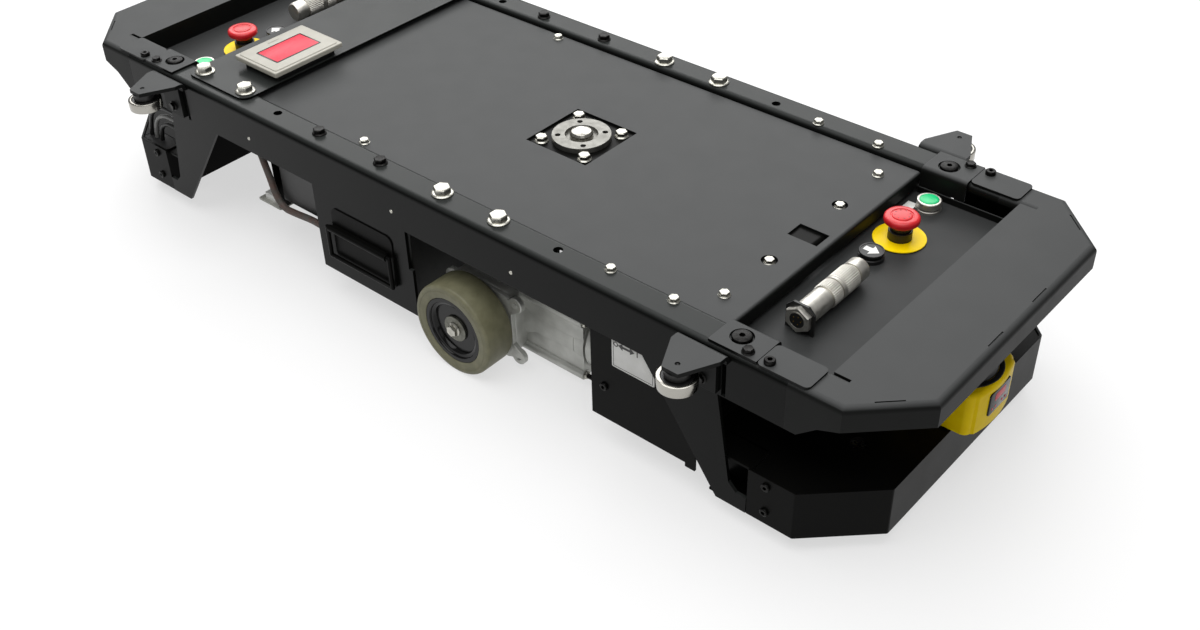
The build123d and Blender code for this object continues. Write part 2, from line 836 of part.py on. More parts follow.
def roller_bracket():
    path = [(side_y, tab_flange_bottom), (side_y, rail_top), (tab_reach, rail_top)]
    angle = prism_x(folded(path, -tab_thickness, inner_bend), tab_x - tab_half_base, tab_x + tab_half_base)
    straight = side_y + tab_straight
    outline = [
        (tab_x - tab_half_base, side_y - 1), (tab_x - tab_half_base, straight),
        (tab_x - tab_half_tip, tab_reach + 1), (tab_x + tab_half_tip, tab_reach + 1),
        (tab_x + tab_half_base, straight), (tab_x + tab_half_base, side_y - 1),
    ]
    plan = make_face(Polyline(*outline, close=True))
    plan = fillet([corner for corner in plan.vertices() if corner.Y > side_y], tab_corner)
    bracket = angle & prism_z(plan, tab_flange_bottom - 1, rail_top + 1)
    for sign in (1, -1):
        low, high = sorted((tab_x + sign * tab_flange_half, tab_x + sign * (tab_half_base + 1)))
        bracket -= block(
            low, high, side_y - 1, side_y + tab_thickness + 4, tab_flange_bottom - 1, tab_under - 6)
    bracket -= post(tab_x, roller_y, tab_under - 1, tab_hole_radius, tab_thickness + 2)
    bracket -= outward(post(0, 0, -1, m6_bolt[3] + hole_gap, tab_thickness + 2), tab_x, tab_bolt_z)
    return bracket


def roller_stud():
    low = roller_bottom - stud_cap_height
    profile = [
        (0, low), (stud_cap_radius - 2, low), (stud_cap_radius, low + 2), (stud_cap_radius, roller_bottom),
        (inner_ring_radius, roller_bottom), (inner_ring_radius, roller_top),
        (spacer_radius, roller_top + part_gap),
        (spacer_radius, tab_under), (tab_hole_radius - running_gap, tab_under),
        (tab_hole_radius - running_gap, tab_under + tab_thickness - 1), (0, tab_under + tab_thickness - 1),
    ]
    return Pos(tab_x, roller_y, 0) * turned(profile)


def guide_roller():
    bore = inner_ring_radius + running_gap
    edge = 1.0
    shield = roller_radius - 4.5
    profile = [
        (bore, roller_bottom + 0.8), (shield, roller_bottom + 0.8), (shield, roller_bottom),
        (roller_radius - edge, roller_bottom), (roller_radius, roller_bottom + edge),
        (roller_radius, roller_top - edge), (roller_radius - edge, roller_top), (shield, roller_top),
        (shield, roller_top - 0.8), (bore, roller_top - 0.8),
    ]
    return Pos(tab_x, roller_y, 0) * turned(profile)


def drive_tyre():
    flat = wheel_radius - tyre_edge
    profile = [
        (hub_radius, 0), (flat, 0), (wheel_radius - 1.2, 1.2), (wheel_radius, tyre_edge),
        (wheel_radius, tyre_width - tyre_edge), (wheel_radius - 1.2, tyre_width - 1.2),
        (flat, tyre_width), (hub_radius, tyre_width),
    ]
    return outward(turned(profile), drive_x, wheel_radius, wheel_inner_face)


def drive_hub():
    face = tyre_width - 1
    floor = face - hub_recess
    shaft_low = gearbox_face - gearbox_flange - 10 - wheel_inner_face
    profile = [
        (0, shaft_low), (shaft_radius, shaft_low), (shaft_radius, 4),
        (hub_radius - 6, 4), (hub_radius - 3, 1),
        (hub_radius, 1), (hub_radius, face), (hub_lip_radius + 3, face), (hub_lip_radius, floor + 2),
        (hub_lip_radius - 4, floor), (0, floor),
    ]
    hub = turned(profile)
    washer = Pos(0, 0, floor) * turned([
        (0, 0), (washer_radius, 0), (washer_radius, washer_thickness), (0, washer_thickness)])
    bolt = Pos(0, 0, floor + washer_thickness) * extrude(RegularPolygon(8, 6), 5)
    return [outward(piece, drive_x, wheel_radius, wheel_inner_face) for piece in (hub, washer + bolt)]


def drive_unit():
    half = gearbox_size / 2
    low_z = wheel_radius - half
    flange_y = gearbox_face - gearbox_flange
    body = block(drive_x - half, motor_start, gearbox_inner, flange_y, low_z, low_z + gearbox_size)
    body = fillet(body.edges().filter_by(Axis.Y), motor_corner)
    plate = Pos(drive_x, wheel_radius) * RectangleRounded(2 * ear_x - 14, gearbox_size, motor_corner)
    for dx in (-ear_x, ear_x):
        for dz in (-ear_z, ear_z):
            plate += Pos(drive_x + dx, wheel_radius + dz) * Circle(ear_radius)
    for dx in (-ear_x, ear_x):
        for dz in (-ear_z, ear_z):
            plate -= Pos(drive_x + dx, wheel_radius + dz) * Circle(ear_hole_radius)
    body += prism_y(plate, flange_y, gearbox_face)
    body -= outward(post(0, 0, -14, shaft_radius + running_gap, 40), drive_x, wheel_radius, flange_y)
    motor_half = gearbox_size / 2
    centre = Pos(motor_y, wheel_radius)
    section = centre * RectangleRounded(2 * motor_half, 2 * motor_half, motor_corner)
    square_end = motor_start + motor_square
    motor_end = motor_start + motor_length
    motor = prism_x(section, motor_start, square_end)
    for dy in (-motor_screw_offset, motor_screw_offset):
        for dz in (-motor_screw_offset, motor_screw_offset):
            motor -= prism_x(centre * Pos(dy, dz) * Circle(3 + hole_gap), square_end - 10, square_end + 1)
    motor += prism_x(centre * Circle(motor_round_radius - 2), square_end, square_end + motor_groove)
    drum = prism_x(centre * Circle(motor_round_radius), square_end + motor_groove, motor_end)
    motor += chamfer(drum.edges().filter_by(GeomType.CIRCLE), 2)
    return [body, motor]


def drive_bracket():
    half = bracket_length / 2
    top = hub_plate_under - member_height
    middle = drive_x - 3
    path = [(bracket_inner, bracket_bottom), (bracket_inner, top), (bracket_inner + bracket_flange, top)]
    return prism_x(folded(path, -frame_sheet, inner_bend), middle - half, middle + half)


def stop_collar():
    travel_floor = legend_top + 4.5
    stem_floor = pan_under - 2
    profile = [
        (0, stem_floor - 4), (panel_hole_radius, stem_floor - 4), (panel_hole_radius, legend_top),
        (collar_radius, legend_top), (collar_radius, pan_top + collar_top),
        (plunger_radius + part_gap, pan_top + collar_top), (plunger_radius + part_gap, travel_floor),
        (stem_radius + running_gap, travel_floor), (stem_radius + running_gap, stem_floor), (0, stem_floor),
    ]
    half = contact_block / 2
    low = stem_floor - contact_depth
    collar = turned(profile) + block(-half, half, -half, half, low, pan_under - 1.5 - 2)
    collar -= post(0, 0, stem_floor, stem_radius + running_gap, 20)
    return Pos(stop_x, stop_y, 0) * collar


def stop_plunger():
    low = pan_under - 2 + stop_travel + part_gap
    flange_low = legend_top + 4.5 + stop_travel + part_gap
    profile = [
        (0, low), (stem_radius, low), (stem_radius, flange_low), (plunger_radius, flange_low),
        (plunger_radius, cap_under), (spigot_radius, cap_under),
        (spigot_radius, cap_under + spigot_height), (0, cap_under + spigot_height),
    ]
    return Pos(stop_x, stop_y, 0) * turned(profile)


def stop_cap():
    radius = stop_cap_radius
    top = cap_under + stop_cap_height
    bore = spigot_radius + running_gap
    floor = cap_under + spigot_height + part_gap
    profile = [
        (0, floor), (bore, floor), (bore, cap_under + 0.1), (radius * 0.62, cap_under + 0.1),
        (radius * 0.72, cap_under + 3), (radius - 1, cap_under + 5), (radius, cap_under + 7),
        (radius, top - 4), (radius * 0.93, top - 1.2), (radius * 0.8, top), (0, top),
    ]
    return Pos(stop_x, stop_y, 0) * turned(profile)


def legend():
    disc = post(stop_x, stop_y, pan_top, legend_radius, legend_thickness)
    return disc - post(stop_x, stop_y, pan_top - 1, panel_hole_radius + hole_gap, legend_thickness + 2)


def button_bezel(x, y, height):
    floor = pan_top - 1
    bore = button_radius + part_gap
    profile = [
        (0, floor - 6), (panel_hole_radius, floor - 6), (panel_hole_radius, pan_top),
        (bezel_radius, pan_top), (bezel_radius, pan_top + height - 1.5),
        (bezel_radius - 1.5, pan_top + height),
        (bore, pan_top + height), (bore, floor), (0, floor),
    ]
    half = contact_block / 2
    contacts = block(-half, half, -half, half, floor - 5 - contact_depth, pan_under - 3.5)
    return Pos(x, y, 0) * (turned(profile) + contacts)


def push_button(x, y, height):
    low = pan_top - 1 + button_travel + part_gap
    top = pan_top + height
    profile = [
        (0, low), (button_radius, low), (button_radius, top - 2), (button_radius - 2, top - 0.4), (0, top)]
    return Pos(x, y, 0) * turned(profile)


def plug_connector():
    axis_z = pan_top + plug_lift
    near = plug_near + plug_nut_length + cover_sheet
    length = plug_far - near
    r = plug_radius
    profile = [
        (0, 0), (r - 3, 0), (r - 3, 3), (r - 1, 3), (r - 1, 38), (r - 2.5, 38), (r - 2.5, 41),
        (r, 41), (r, 57), (r - 2.5, 57), (r - 2.5, 60), (r, 60), (r, 86), (r - 1.5, 86),
        (r - 1.5, length - 2), (r - 3.5, length), (0, length),
    ]
    barrel = Pos(plug_x, near, axis_z) * Rot(-90, 0, 0) * turned(profile)
    nut_body = extrude(RegularPolygon(r, 6), plug_nut_length)
    nut = Pos(plug_x, plug_near, axis_z) * Rot(-90, 0, 0) * nut_body
    half = plug_radius + 3
    high = pan_top + plug_bracket_height
    plate = [
        (plug_x - half, pan_top), (plug_x + half, pan_top), (plug_x + half, high - 8),
        (plug_x + half - 8, high), (plug_x - half + 8, high), (plug_x - half, high - 8),
    ]
    bracket = prism_y(plate, plug_near + plug_nut_length, near)
    return [barrel, nut, bracket]


def display_base():
    plan = Pos(display_x, 0) * RectangleRounded(display_length, 2 * display_half_width, display_corner)
    base = prism_z(plan, rail_top, display_base_top)
    for x in display_bolt_places:
        for y in (-display_bolt_y, display_bolt_y):
            base -= post(x, y, rail_top - 1, m12_bolt[3] + hole_gap, cover_sheet + 2)
    return base


def display_bezel():
    top = display_base_top + bezel_height
    shell = Pos(bezel_x, bezel_y, top - bezel_height / 2) * Box(bezel_length, bezel_width, bezel_height)
    shell = chamfer(shell.edges().group_by(Axis.Z)[-1], 3)
    window = Pos(bezel_x, bezel_y, top) * Box(window_length, window_width, 2 * window_depth)
    return shell - window


def display_window():
    top = display_base_top + bezel_height
    low = top - window_depth
    half_x = window_length / 2 - part_gap
    half_y = window_width / 2 - part_gap
    return block(bezel_x - half_x, bezel_x + half_x, bezel_y - half_y, bezel_y + half_y, low, top - 0.5)


def scanner_body():
    half = scanner_half
    nose = ThreePointArc((scanner_corner, -half), (scanner_nose, 0), (scanner_corner, half))
    rest = Polyline(
        (scanner_corner, half), (scanner_back, half), (scanner_back, -half), (scanner_corner, -half))
    face = make_face([nose, *rest.edges()])
    body = prism_z(face, scanner_bottom, scanner_top)
    return fillet(body.edges().group_by(Axis.Z)[-1], 4)


def scanner_dome():
    r = dome_radius
    profile = [
        (0, 0), (r, 0), (r, 5), (r - 3, 7), (r - 8, dome_height - 5), (r - 12, dome_height), (0, dome_height)]
    return Pos(dome_x, 0, scanner_top) * turned(profile)


def side_panel():
    outline = [
        (side_panel_back, side_panel_top), (side_panel_back, panel_bottom),
        (side_panel_front - foot_length, panel_bottom),
        (side_panel_front - foot_length, panel_bottom - foot_drop),
        (side_panel_front, panel_bottom - foot_drop), (side_panel_front, side_panel_top),
    ]
    panel = prism_y(outline, side_inner - cover_sheet, side_inner)
    return panel - outward(post(0, 0, -9, m6_bolt[3] + hole_gap, 10), panel_screw[0], panel_screw[1])


def base_tray():
    top = panel_bottom + cover_sheet
    return block(panel_rear, panel_front, -side_inner, side_inner, panel_bottom, top)


def battery():
    low = panel_bottom + cover_sheet
    x0 = panel_rear + 8
    y0 = -side_inner + 4
    case = block(x0, x0 + battery_length, y0, y0 + battery_width, low, low + battery_height)
    return chamfer(case.edges().filter_by(Axis.Z), 4)


def controller_box():
    half = controller_length / 2
    outer = controller_outer
    return block(
        controller_x - half, controller_x + half, outer - controller_width, outer,
        controller_bottom, deck_under - member_height,
    )


def sensor_bracket():
    # Tray below, strap up its front edge and a foot under the cross member
    top = deck_under - member_height - thin_sheet
    path = [
        (sensor_x - sensor_length, sensor_z), (sensor_x, sensor_z),
        (sensor_x, top), (sensor_x + sensor_foot, top),
    ]
    return prism_y(folded(path, thin_sheet, thin_bend), -sensor_outer, sensor_width - sensor_outer)


def battery_lid():
    plate = Pos((lid_left + lid_right) / 2, (lid_bottom + lid_top) / 2) * RectangleRounded(
        lid_right - lid_left, lid_top - lid_bottom, lid_corner)
    lid = prism_y(plate, -side_y - lid_thickness, -side_y)
    axis_y = -side_y - lid_thickness - hinge_tube_radius
    left = handle_left + handle_rod_radius + part_gap + 1
    right = handle_right - handle_rod_radius - part_gap - 1
    along = Pos((left + right) / 2, axis_y, handle_axis_z) * Rot(0, 90, 0)
    tube = along * Cylinder(hinge_tube_radius, right - left)
    tube += block(
        lid_left + 2, right - 2, axis_y, -side_y - lid_thickness,
        handle_axis_z - hinge_tube_radius, handle_axis_z + hinge_tube_radius,
    )
    return lid + (tube - along * Cylinder(handle_rod_radius + running_gap, right - left + 2))


def box_handle():
    axis_y = -side_y - lid_thickness - hinge_tube_radius
    low = handle_axis_z - handle_drop
    rod = Circle(handle_rod_radius)
    across = handle_right - handle_left
    handle = None
    for z in (handle_axis_z, low):
        bar = Pos(handle_left, axis_y, z) * Rot(0, 90, 0) * extrude(rod, across)
        handle = bar if handle is None else handle + bar
    for x in (handle_left, handle_right):
        handle += Pos(x, axis_y, low) * extrude(rod, handle_drop)
        for z in (handle_axis_z, low):
            handle += Pos(x, axis_y, z) * Sphere(handle_rod_radius)
    return handle


def zinc_bolts():
    bolts = []
    big = flange_bolt(m12_bolt)
    short = flange_bolt(m12_short_bolt)
    middle = flange_bolt(m8_bolt)
    small = flange_bolt(m6_bolt)
    for sign in (1, -1):
        bolts += [Pos(x, sign * rail_bolt_y, rail_top) * big for x in big_bolt_places]
        bolts += [Pos(x, sign * display_bolt_y, display_base_top) * short for x in display_bolt_places]
        bolts += [Pos(x, sign * small_bolt_y, rail_top) * small for x in small_bolt_places]
        bolts.append(Pos(member_places[0], sign * deck_bolt_y, deck_top) * small)
        bolts.append(Pos(member_places[0], sign * sunk_bolt_y, deck_under) * small)
        bolts.append(Pos(member_places[2], sign * rear_deck_bolt_y, deck_top) * small)
        for dx in (-pocket_bolt_offset, pocket_bolt_offset):
            bolts.append(Pos(drive_x + dx, sign * pocket_bolt_offset, deck_under) * middle)
    screw = button_screw(4.6, 4, 3, 8)
    for dy in (-motor_screw_offset, motor_screw_offset):
        for dz in (-motor_screw_offset, motor_screw_offset):
            place = Pos(motor_start + motor_square, motor_y + dy, wheel_radius + dz)
            bolts += both_sides(place * Rot(0, 90, 0) * screw)
    rivet = button_screw(rivet_radius, rivet_head, rivet_shank, frame_sheet)
    for x in rivet_places:
        bolts += both_sides(outward(rivet, x, rivet_z))
    return bolts


def black_bolts():
    flanged = flange_bolt(m8_bolt)
    hexagon = flange_bolt(m6_bolt)
    bolts = []
    for sign in (1, -1):
        bolts += [Pos(x, sign * rail_bolt_y, rail_top) * flanged for x in black_bolt_places]
    button = button_screw(corner_cap_radius, corner_cap_height, m8_bolt[3], 8)
    cap = button_screw(6, 5, m6_bolt[3], 8)
    bolts += four_corners(Pos(corner_screw_places[0], corner_screw_y, rail_top + cover_sheet) * hexagon)
    bolts += four_corners(Pos(corner_screw_places[1], corner_screw_y, rail_top + cover_thickness) * cap)
    bolts += four_corners(Pos(corner_cap_x, corner_hole_y, rail_top) * button)
    bolts += four_corners(outward(hexagon, tab_x, tab_bolt_z, side_y + tab_thickness))
    small = button_screw(5, 3, m6_bolt[3], 6)
    for z in skirt_screw_heights:
        bolts += four_corners(outward(small, skirt_screw_x, z, side_y - skirt_side_gap))
    bolts += both_sides(outward(small, *panel_screw, side_inner))
    return bolts


def cable(points, radius):
    # Straight runs joined by arcs that are as large as the runs allow
    radii = []
    vectors = [Vector(*point) for point in points]
    for a, b, c in zip(vectors, vectors[1:], vectors[2:]):
        turn = math.radians((b - a).get_angle(c - b))
        shorter = min((b - a).length, (c - b).length)
        radii.append(0.45 * shorter / math.tan(turn / 2))
    line = FilletPolyline(*vectors, radius=radii)
    start = Plane(origin=line @ 0, z_dir=line % 0)
    tube = sweep(start * Circle(radius), path=line)
    print("cable length", round(line.length, 1), "radii", [round(value, 1) for value in radii],
          "volume ratio", round(tube.volume / (math.pi * radius ** 2 * line.length), 4))
    return tube


def bent_cable(height):
    # One of the nested cables that leave the bulkhead and turn down into the skirt
    reach = height - cable_bend_z
    outer_x = cable_bend_x - reach
    return [
        (cable_start, cable_side, height - 3), (cable_start - 34, cable_side, height + 1),
        (cable_bend_x - 0.3 * reach, cable_side, height),
        (cable_bend_x - 0.8 * reach, cable_side, height - 0.32 * reach),
        (outer_x, cable_side, cable_bend_z + 0.2 * reach), (outer_x - 3, cable_side, cable_bend_z - 16),
        (outer_x + 1, cable_side, cable_end_z),
    ]


def wiring():
    bent = [cable(bent_cable(height), cable_radius) for height in cable_heights]
    return bent + [cable(loom_points, loom_radius)]


def sensor_box():
    # Junction box on the inside of the rear skirt, below the ends of the three cables
    outermost = cable_bend_x - (max(cable_heights) - cable_bend_z)
    front = outermost - cable_radius - 0.5
    wall = -(side_y - skirt_side_gap - cover_sheet)
    top = cable_end_z - 1
    box = block(
        front, front + sensor_box_length, wall, wall + cable_notch_depth - 4, top - sensor_box_height, top)
    corner = [edge for edge in box.edges().filter_by(Axis.Z)
              if edge.center().X < front + 1 and edge.center().Y < wall + 1]
    return chamfer(corner, 6)


def save(name, shape):
    pieces = shape if isinstance(shape, list) else [shape]
    solids = []
    for piece in pieces:
        solids += list(piece.solids())
    result = solids[0] if len(solids) == 1 else Compound(children=solids)
    result.label = name
    export_step(result, os.path.join("parts", name + ".step"))
    print(name, len(solids), "solids")


def main():
    os.makedirs("parts", exist_ok=True)
    save("side_frame_left", side_frame("left"))
    save("side_frame_right", side_frame("right"))
    save("deck_plate", deck_plate())
    save("cross_members", cross_members() + [hub_plate()] + both_sides(drive_bracket()))
    save("tow_flange", tow_flange())
    save("tow_pin", tow_pin())
    save("tow_lift_unit", tow_lift_unit())
    head = head_plate()
    save("head_plate_front", head)
    save("head_plate_rear", rear_of(head))
    pan = recess_pan()
    save("recess_pans", [pan, rear_of(pan)])
    save("corner_plates", four_corners(corner_plate()) + four_corners(arm_cover()))
    ring = skirt()
    save("skirt_front", ring)
    save("skirt_rear", rear_of(ring))
    frame = end_frame()
    save("end_frames", frame + [rear_of(piece) for piece in frame])
    save("under_panels", both_sides(side_panel()) + [base_tray()])
    save("battery", battery())
    save("controller_boxes", [*both_sides(controller_box()), sensor_box()])
    save("sensor_bracket", sensor_bracket())
    save("battery_lid", battery_lid())
    save("box_handle", box_handle())
    save("roller_brackets", four_corners(roller_bracket()))
    save("roller_studs", four_corners(roller_stud()))
    corners = ("front_left", "front_right", "rear_left", "rear_right")
    for name, roller in zip(corners, four_corners(guide_roller())):
        save("guide_roller_" + name, roller)
    caster_places = [(x, y) for x in (caster_x, -caster_x) for y in (caster_y, -caster_y)]
    save("caster_plates", [caster_plate(x, y) for x, y in caster_places])
    for name, (x, y) in zip(corners, caster_places):
        save("caster_fork_" + name, caster_fork(x, y))
        save("caster_wheel_" + name, caster_wheel(x, y))
    save("drive_units", [piece for part in drive_unit() for piece in both_sides(part)])
    hub = drive_hub()
    save("drive_hub_left", hub)
    save("drive_hub_right", [right_of(piece) for piece in hub])
    tyre = drive_tyre()
    save("drive_tyre_left", tyre)
    save("drive_tyre_right", right_of(tyre))
    save("stop_legends", [legend(), rear_of(legend())])
    save("stop_collars", [stop_collar(), rear_of(stop_collar())])
    for end, turn in (("front", Pos(0, 0, 0)), ("rear", Rot(0, 0, 180))):
        save("stop_plunger_" + end, turn * stop_plunger())
        save("stop_cap_" + end, turn * stop_cap())
        save("start_button_" + end, turn * push_button(start_x, start_y, start_height))
        save("arrow_button_" + end, turn * push_button(arrow_x, arrow_y, arrow_height))
    bezels = [
        button_bezel(start_x, start_y, start_bezel_height),
        button_bezel(arrow_x, arrow_y, arrow_bezel_height),
    ]
    save("button_bezels", bezels + [rear_of(bezel) for bezel in bezels])
    plug = plug_connector()
    save("plug_connectors", plug + [rear_of(piece) for piece in plug])
    save("display_base", display_base())
    save("display_bezel", display_bezel())
    save("display_window", display_window())
    save("scanner_bodies", [scanner_body(), rear_of(scanner_body())])
    save("scanner_domes", [scanner_dome(), rear_of(scanner_dome())])
    save("zinc_bolts", zinc_bolts())
    save("black_bolts", black_bolts())
    save("wiring", wiring())


main()
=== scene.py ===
import bpy
import bmesh
import json
from math import atan2, cos, pi, radians, sin, sqrt, tau
from mathutils import Matrix, Vector

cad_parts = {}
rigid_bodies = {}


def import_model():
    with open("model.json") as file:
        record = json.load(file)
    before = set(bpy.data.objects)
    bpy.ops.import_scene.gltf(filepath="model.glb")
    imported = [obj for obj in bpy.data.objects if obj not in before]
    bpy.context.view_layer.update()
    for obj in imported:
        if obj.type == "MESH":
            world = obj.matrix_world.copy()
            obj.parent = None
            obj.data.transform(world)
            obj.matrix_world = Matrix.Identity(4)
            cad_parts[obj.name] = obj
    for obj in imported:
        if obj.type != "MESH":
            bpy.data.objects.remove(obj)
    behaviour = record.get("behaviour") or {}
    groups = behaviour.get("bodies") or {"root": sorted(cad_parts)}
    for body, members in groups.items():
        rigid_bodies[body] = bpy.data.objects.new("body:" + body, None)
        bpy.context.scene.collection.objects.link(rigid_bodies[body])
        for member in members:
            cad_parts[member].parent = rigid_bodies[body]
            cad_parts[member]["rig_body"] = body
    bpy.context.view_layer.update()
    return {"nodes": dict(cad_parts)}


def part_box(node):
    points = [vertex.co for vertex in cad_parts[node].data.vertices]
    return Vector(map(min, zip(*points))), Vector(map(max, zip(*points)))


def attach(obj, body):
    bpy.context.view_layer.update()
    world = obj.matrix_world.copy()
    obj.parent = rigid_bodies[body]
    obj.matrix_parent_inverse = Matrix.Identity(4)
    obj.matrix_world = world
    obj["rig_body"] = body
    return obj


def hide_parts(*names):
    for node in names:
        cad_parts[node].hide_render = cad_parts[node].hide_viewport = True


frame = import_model()
print("frame loaded:", len(frame["nodes"]), "nodes")

mm = 0.001
ends = {"front": 1, "rear": -1}
sides = {"left": 1, "right": -1}
corners = [end + "_" + side for end in ends for side in sides]
remade = set()  # nodes that already have their dressed pieces


def take(values, names):
    # Several values of a dictionary by their names
    return [values[name] for name in names.split()]


def addObject(name, data):
    item = bpy.data.objects.new(name, data)
    bpy.context.scene.collection.objects.link(item)
    return item


def meshOf(shape, name):
    mesh = bpy.data.meshes.new(name)
    shape.to_mesh(mesh)
    shape.free()
    return mesh


# Camera, set from points of the photograph that lie on known planes of the vehicle
cameraValues = {
    "place": (1.0536, -1.0799, 1.0713),
    "azimuth": 41.535,
    "elevation": 37.833,
    "roll": -1.462,
    "focalPixels": 1400.2,
    "photoWidth": 1200,
    "photoHeight": 630,
    "opticalCentre": (599.3, 315.5),
    "sensorWidth": 36.0,
}


def makeCamera(values):
    azimuth = radians(values["azimuth"])
    elevation = radians(values["elevation"])
    roll = radians(values["roll"])
    ahead = Vector((-sin(azimuth) * cos(elevation), cos(azimuth) * cos(elevation), -sin(elevation)))
    level = Vector((cos(azimuth), sin(azimuth), 0))
    upright = level.cross(ahead)
    right = level * cos(roll) + upright * sin(roll)
    up = upright * cos(roll) - level * sin(roll)
    data = bpy.data.cameras.new("photoCamera")
    data.sensor_width = values["sensorWidth"]
    data.lens = values["focalPixels"] / values["photoWidth"] * values["sensorWidth"]
    data.shift_x = (values["photoWidth"] / 2 - values["opticalCentre"][0]) / values["photoWidth"]
    data.shift_y = (values["opticalCentre"][1] - values["photoHeight"] / 2) / values["photoWidth"]
    data.clip_start = 0.05
    data.clip_end = 60
    camera = addObject("photoCamera", data)
    turn = Matrix((right, up, -ahead)).transposed().to_4x4()
    camera.matrix_world = Matrix.Translation(values["place"]) @ turn
    bpy.context.scene.camera = camera


makeCamera(cameraValues)
print("camera ready")


# Materials
def colour(code):
    channels = [int(code[i:i + 2], 16) / 255 for i in (1, 3, 5)]
    linear = [c / 12.92 if c <= 0.04045 else ((c + 0.055) / 1.055) ** 2.4 for c in channels]
    return (*linear, 1.0)


def emptyTree(owner):
    owner.use_nodes = True
    owner.node_tree.nodes.clear()
    return owner.node_tree


def addNode(tree, kind, settings=None, links=None):
    # Adds one shader node; settings are its properties or socket values, links are what feeds it
    node = tree.nodes.new("ShaderNode" + kind)
    for key, value in (settings or {}).items():
        if isinstance(key, str) and hasattr(node, key):
            setattr(node, key, value)
        else:
            node.inputs[key].default_value = value
    for key, source in (links or {}).items():
        tree.links.new(getattr(source, "outputs", [source])[0], node.inputs[key])
    return node


def startMaterial(name, baseColour, roughness, metallic=0.0, specular=0.5):
    # A new material with its Principled shader and object coordinates ready
    material = bpy.data.materials.new(name)
    tree = emptyTree(material)
    shader = addNode(tree, "BsdfPrincipled", {
        "Base Color": colour(baseColour), "Roughness": roughness, "Metallic": metallic,
        "Specular IOR Level": specular})
    addNode(tree, "OutputMaterial", links={"Surface": shader})
    place = addNode(tree, "TexCoord").outputs["Object"]
    return material, tree, shader, place


def noiseOf(tree, place, size, detail=2.0):
    # Noise whose blotches are about this size in metres
    noise = addNode(tree, "TexNoise", {"Scale": 1 / size, "Detail": detail}, {"Vector": place})
    return noise.outputs["Fac"]


def spread(tree, factor, low, high, start=0.35, stop=0.65):
    # Turns a noise into a value between low and high
    return addNode(tree, "MapRange", {
        "From Min": start, "From Max": stop, "To Min": low, "To Max": high}, {"Value": factor}).outputs[0]


def blendColours(tree, factor, first, second):
    # Mixes two colours, each a code or what another node gives
    mix = addNode(tree, "Mix", {"data_type": "RGBA"}, {0: factor})
    for socket, value in ((mix.inputs[6], first), (mix.inputs[7], second)):
        if isinstance(value, str):
            socket.default_value = colour(value)
        else:
            tree.links.new(value, socket)
    return mix.outputs[2]


def cloudColours(tree, place, size, detail, first, second):
    # Slow drifts between two near colours
    return blendColours(tree, spread(tree, noiseOf(tree, place, size, detail), 0, 1), first, second)


def addBump(tree, shader, height, strength, distance):
    bump = addNode(tree, "Bump", {"Strength": strength, "Distance": distance}, {"Height": height})
    tree.links.new(bump.outputs[0], shader.inputs["Normal"])


def powderCoat(name, dark, light, roughness, specular, paintedTopSheen=None):
    # Baked black polyester: satin, with a fine orange peel of about 1.2 mm and slow drifts of thickness.
    # Faces that look up are painted paler, a painted sheen in place of the light they reflect
    material, tree, shader, place = startMaterial(name, dark, roughness, specular=specular)
    coat = cloudColours(tree, place, 90 * mm, 3, dark, light)
    if paintedTopSheen:
        # Painted sheen: the colour of faces that look up is blended towards a paler one
        normal = place.node.outputs["Normal"]
        upward = addNode(tree, "SeparateXYZ", links={"Vector": normal}).outputs["Z"]
        coat = blendColours(tree, spread(tree, upward, 0, 1, 0.5, 0.95), coat, paintedTopSheen)
    tree.links.new(coat, shader.inputs["Base Color"])
    tree.links.new(spread(tree, noiseOf(tree, place, 35 * mm, 4), roughness - 0.015, roughness + 0.02),
                   shader.inputs["Roughness"])
    addBump(tree, shader, noiseOf(tree, place, 1.2 * mm, 2), 0.12, 0.05 * mm)
    return material


def platedSteel(name, base, tint, roughness, blotch, scratch=0.0):
    # Plated or ground steel: bright, with cloudy patches and, on screws, fine tool marks
    material, tree, shader, place = startMaterial(name, base, roughness, 1.0)
    tree.links.new(cloudColours(tree, place, blotch, 3, base, tint), shader.inputs["Base Color"])
    tree.links.new(spread(tree, noiseOf(tree, place, blotch * 0.4, 2), roughness - 0.05, roughness + 0.08),
                   shader.inputs["Roughness"])
    if scratch:
        addBump(tree, shader, noiseOf(tree, place, scratch, 2), 0.15, 0.03 * mm)
    return material


def castMetal(name, base, tint, roughness):
    # Die cast aluminium left bare and bead blasted: even grey with a 0.8 mm sandy grain
    material, tree, shader, place = startMaterial(name, base, roughness, 0.5)
    tree.links.new(cloudColours(tree, place, 18 * mm, 4, base, tint), shader.inputs["Base Color"])
    addBump(tree, shader, noiseOf(tree, place, 0.8 * mm, 3), 0.3, 0.15 * mm)
    return material


def moulded(name, base, tint, roughness, grain=0.6 * mm, bump=0.08, specular=0.5):
    # Injection moulded plastic or rubber with a fine spark eroded texture
    material, tree, shader, place = startMaterial(name, base, roughness, specular=specular)
    tree.links.new(cloudColours(tree, place, 12 * mm, 3, base, tint), shader.inputs["Base Color"])
    addBump(tree, shader, noiseOf(tree, place, grain, 2), bump, 0.06 * mm)
    return material


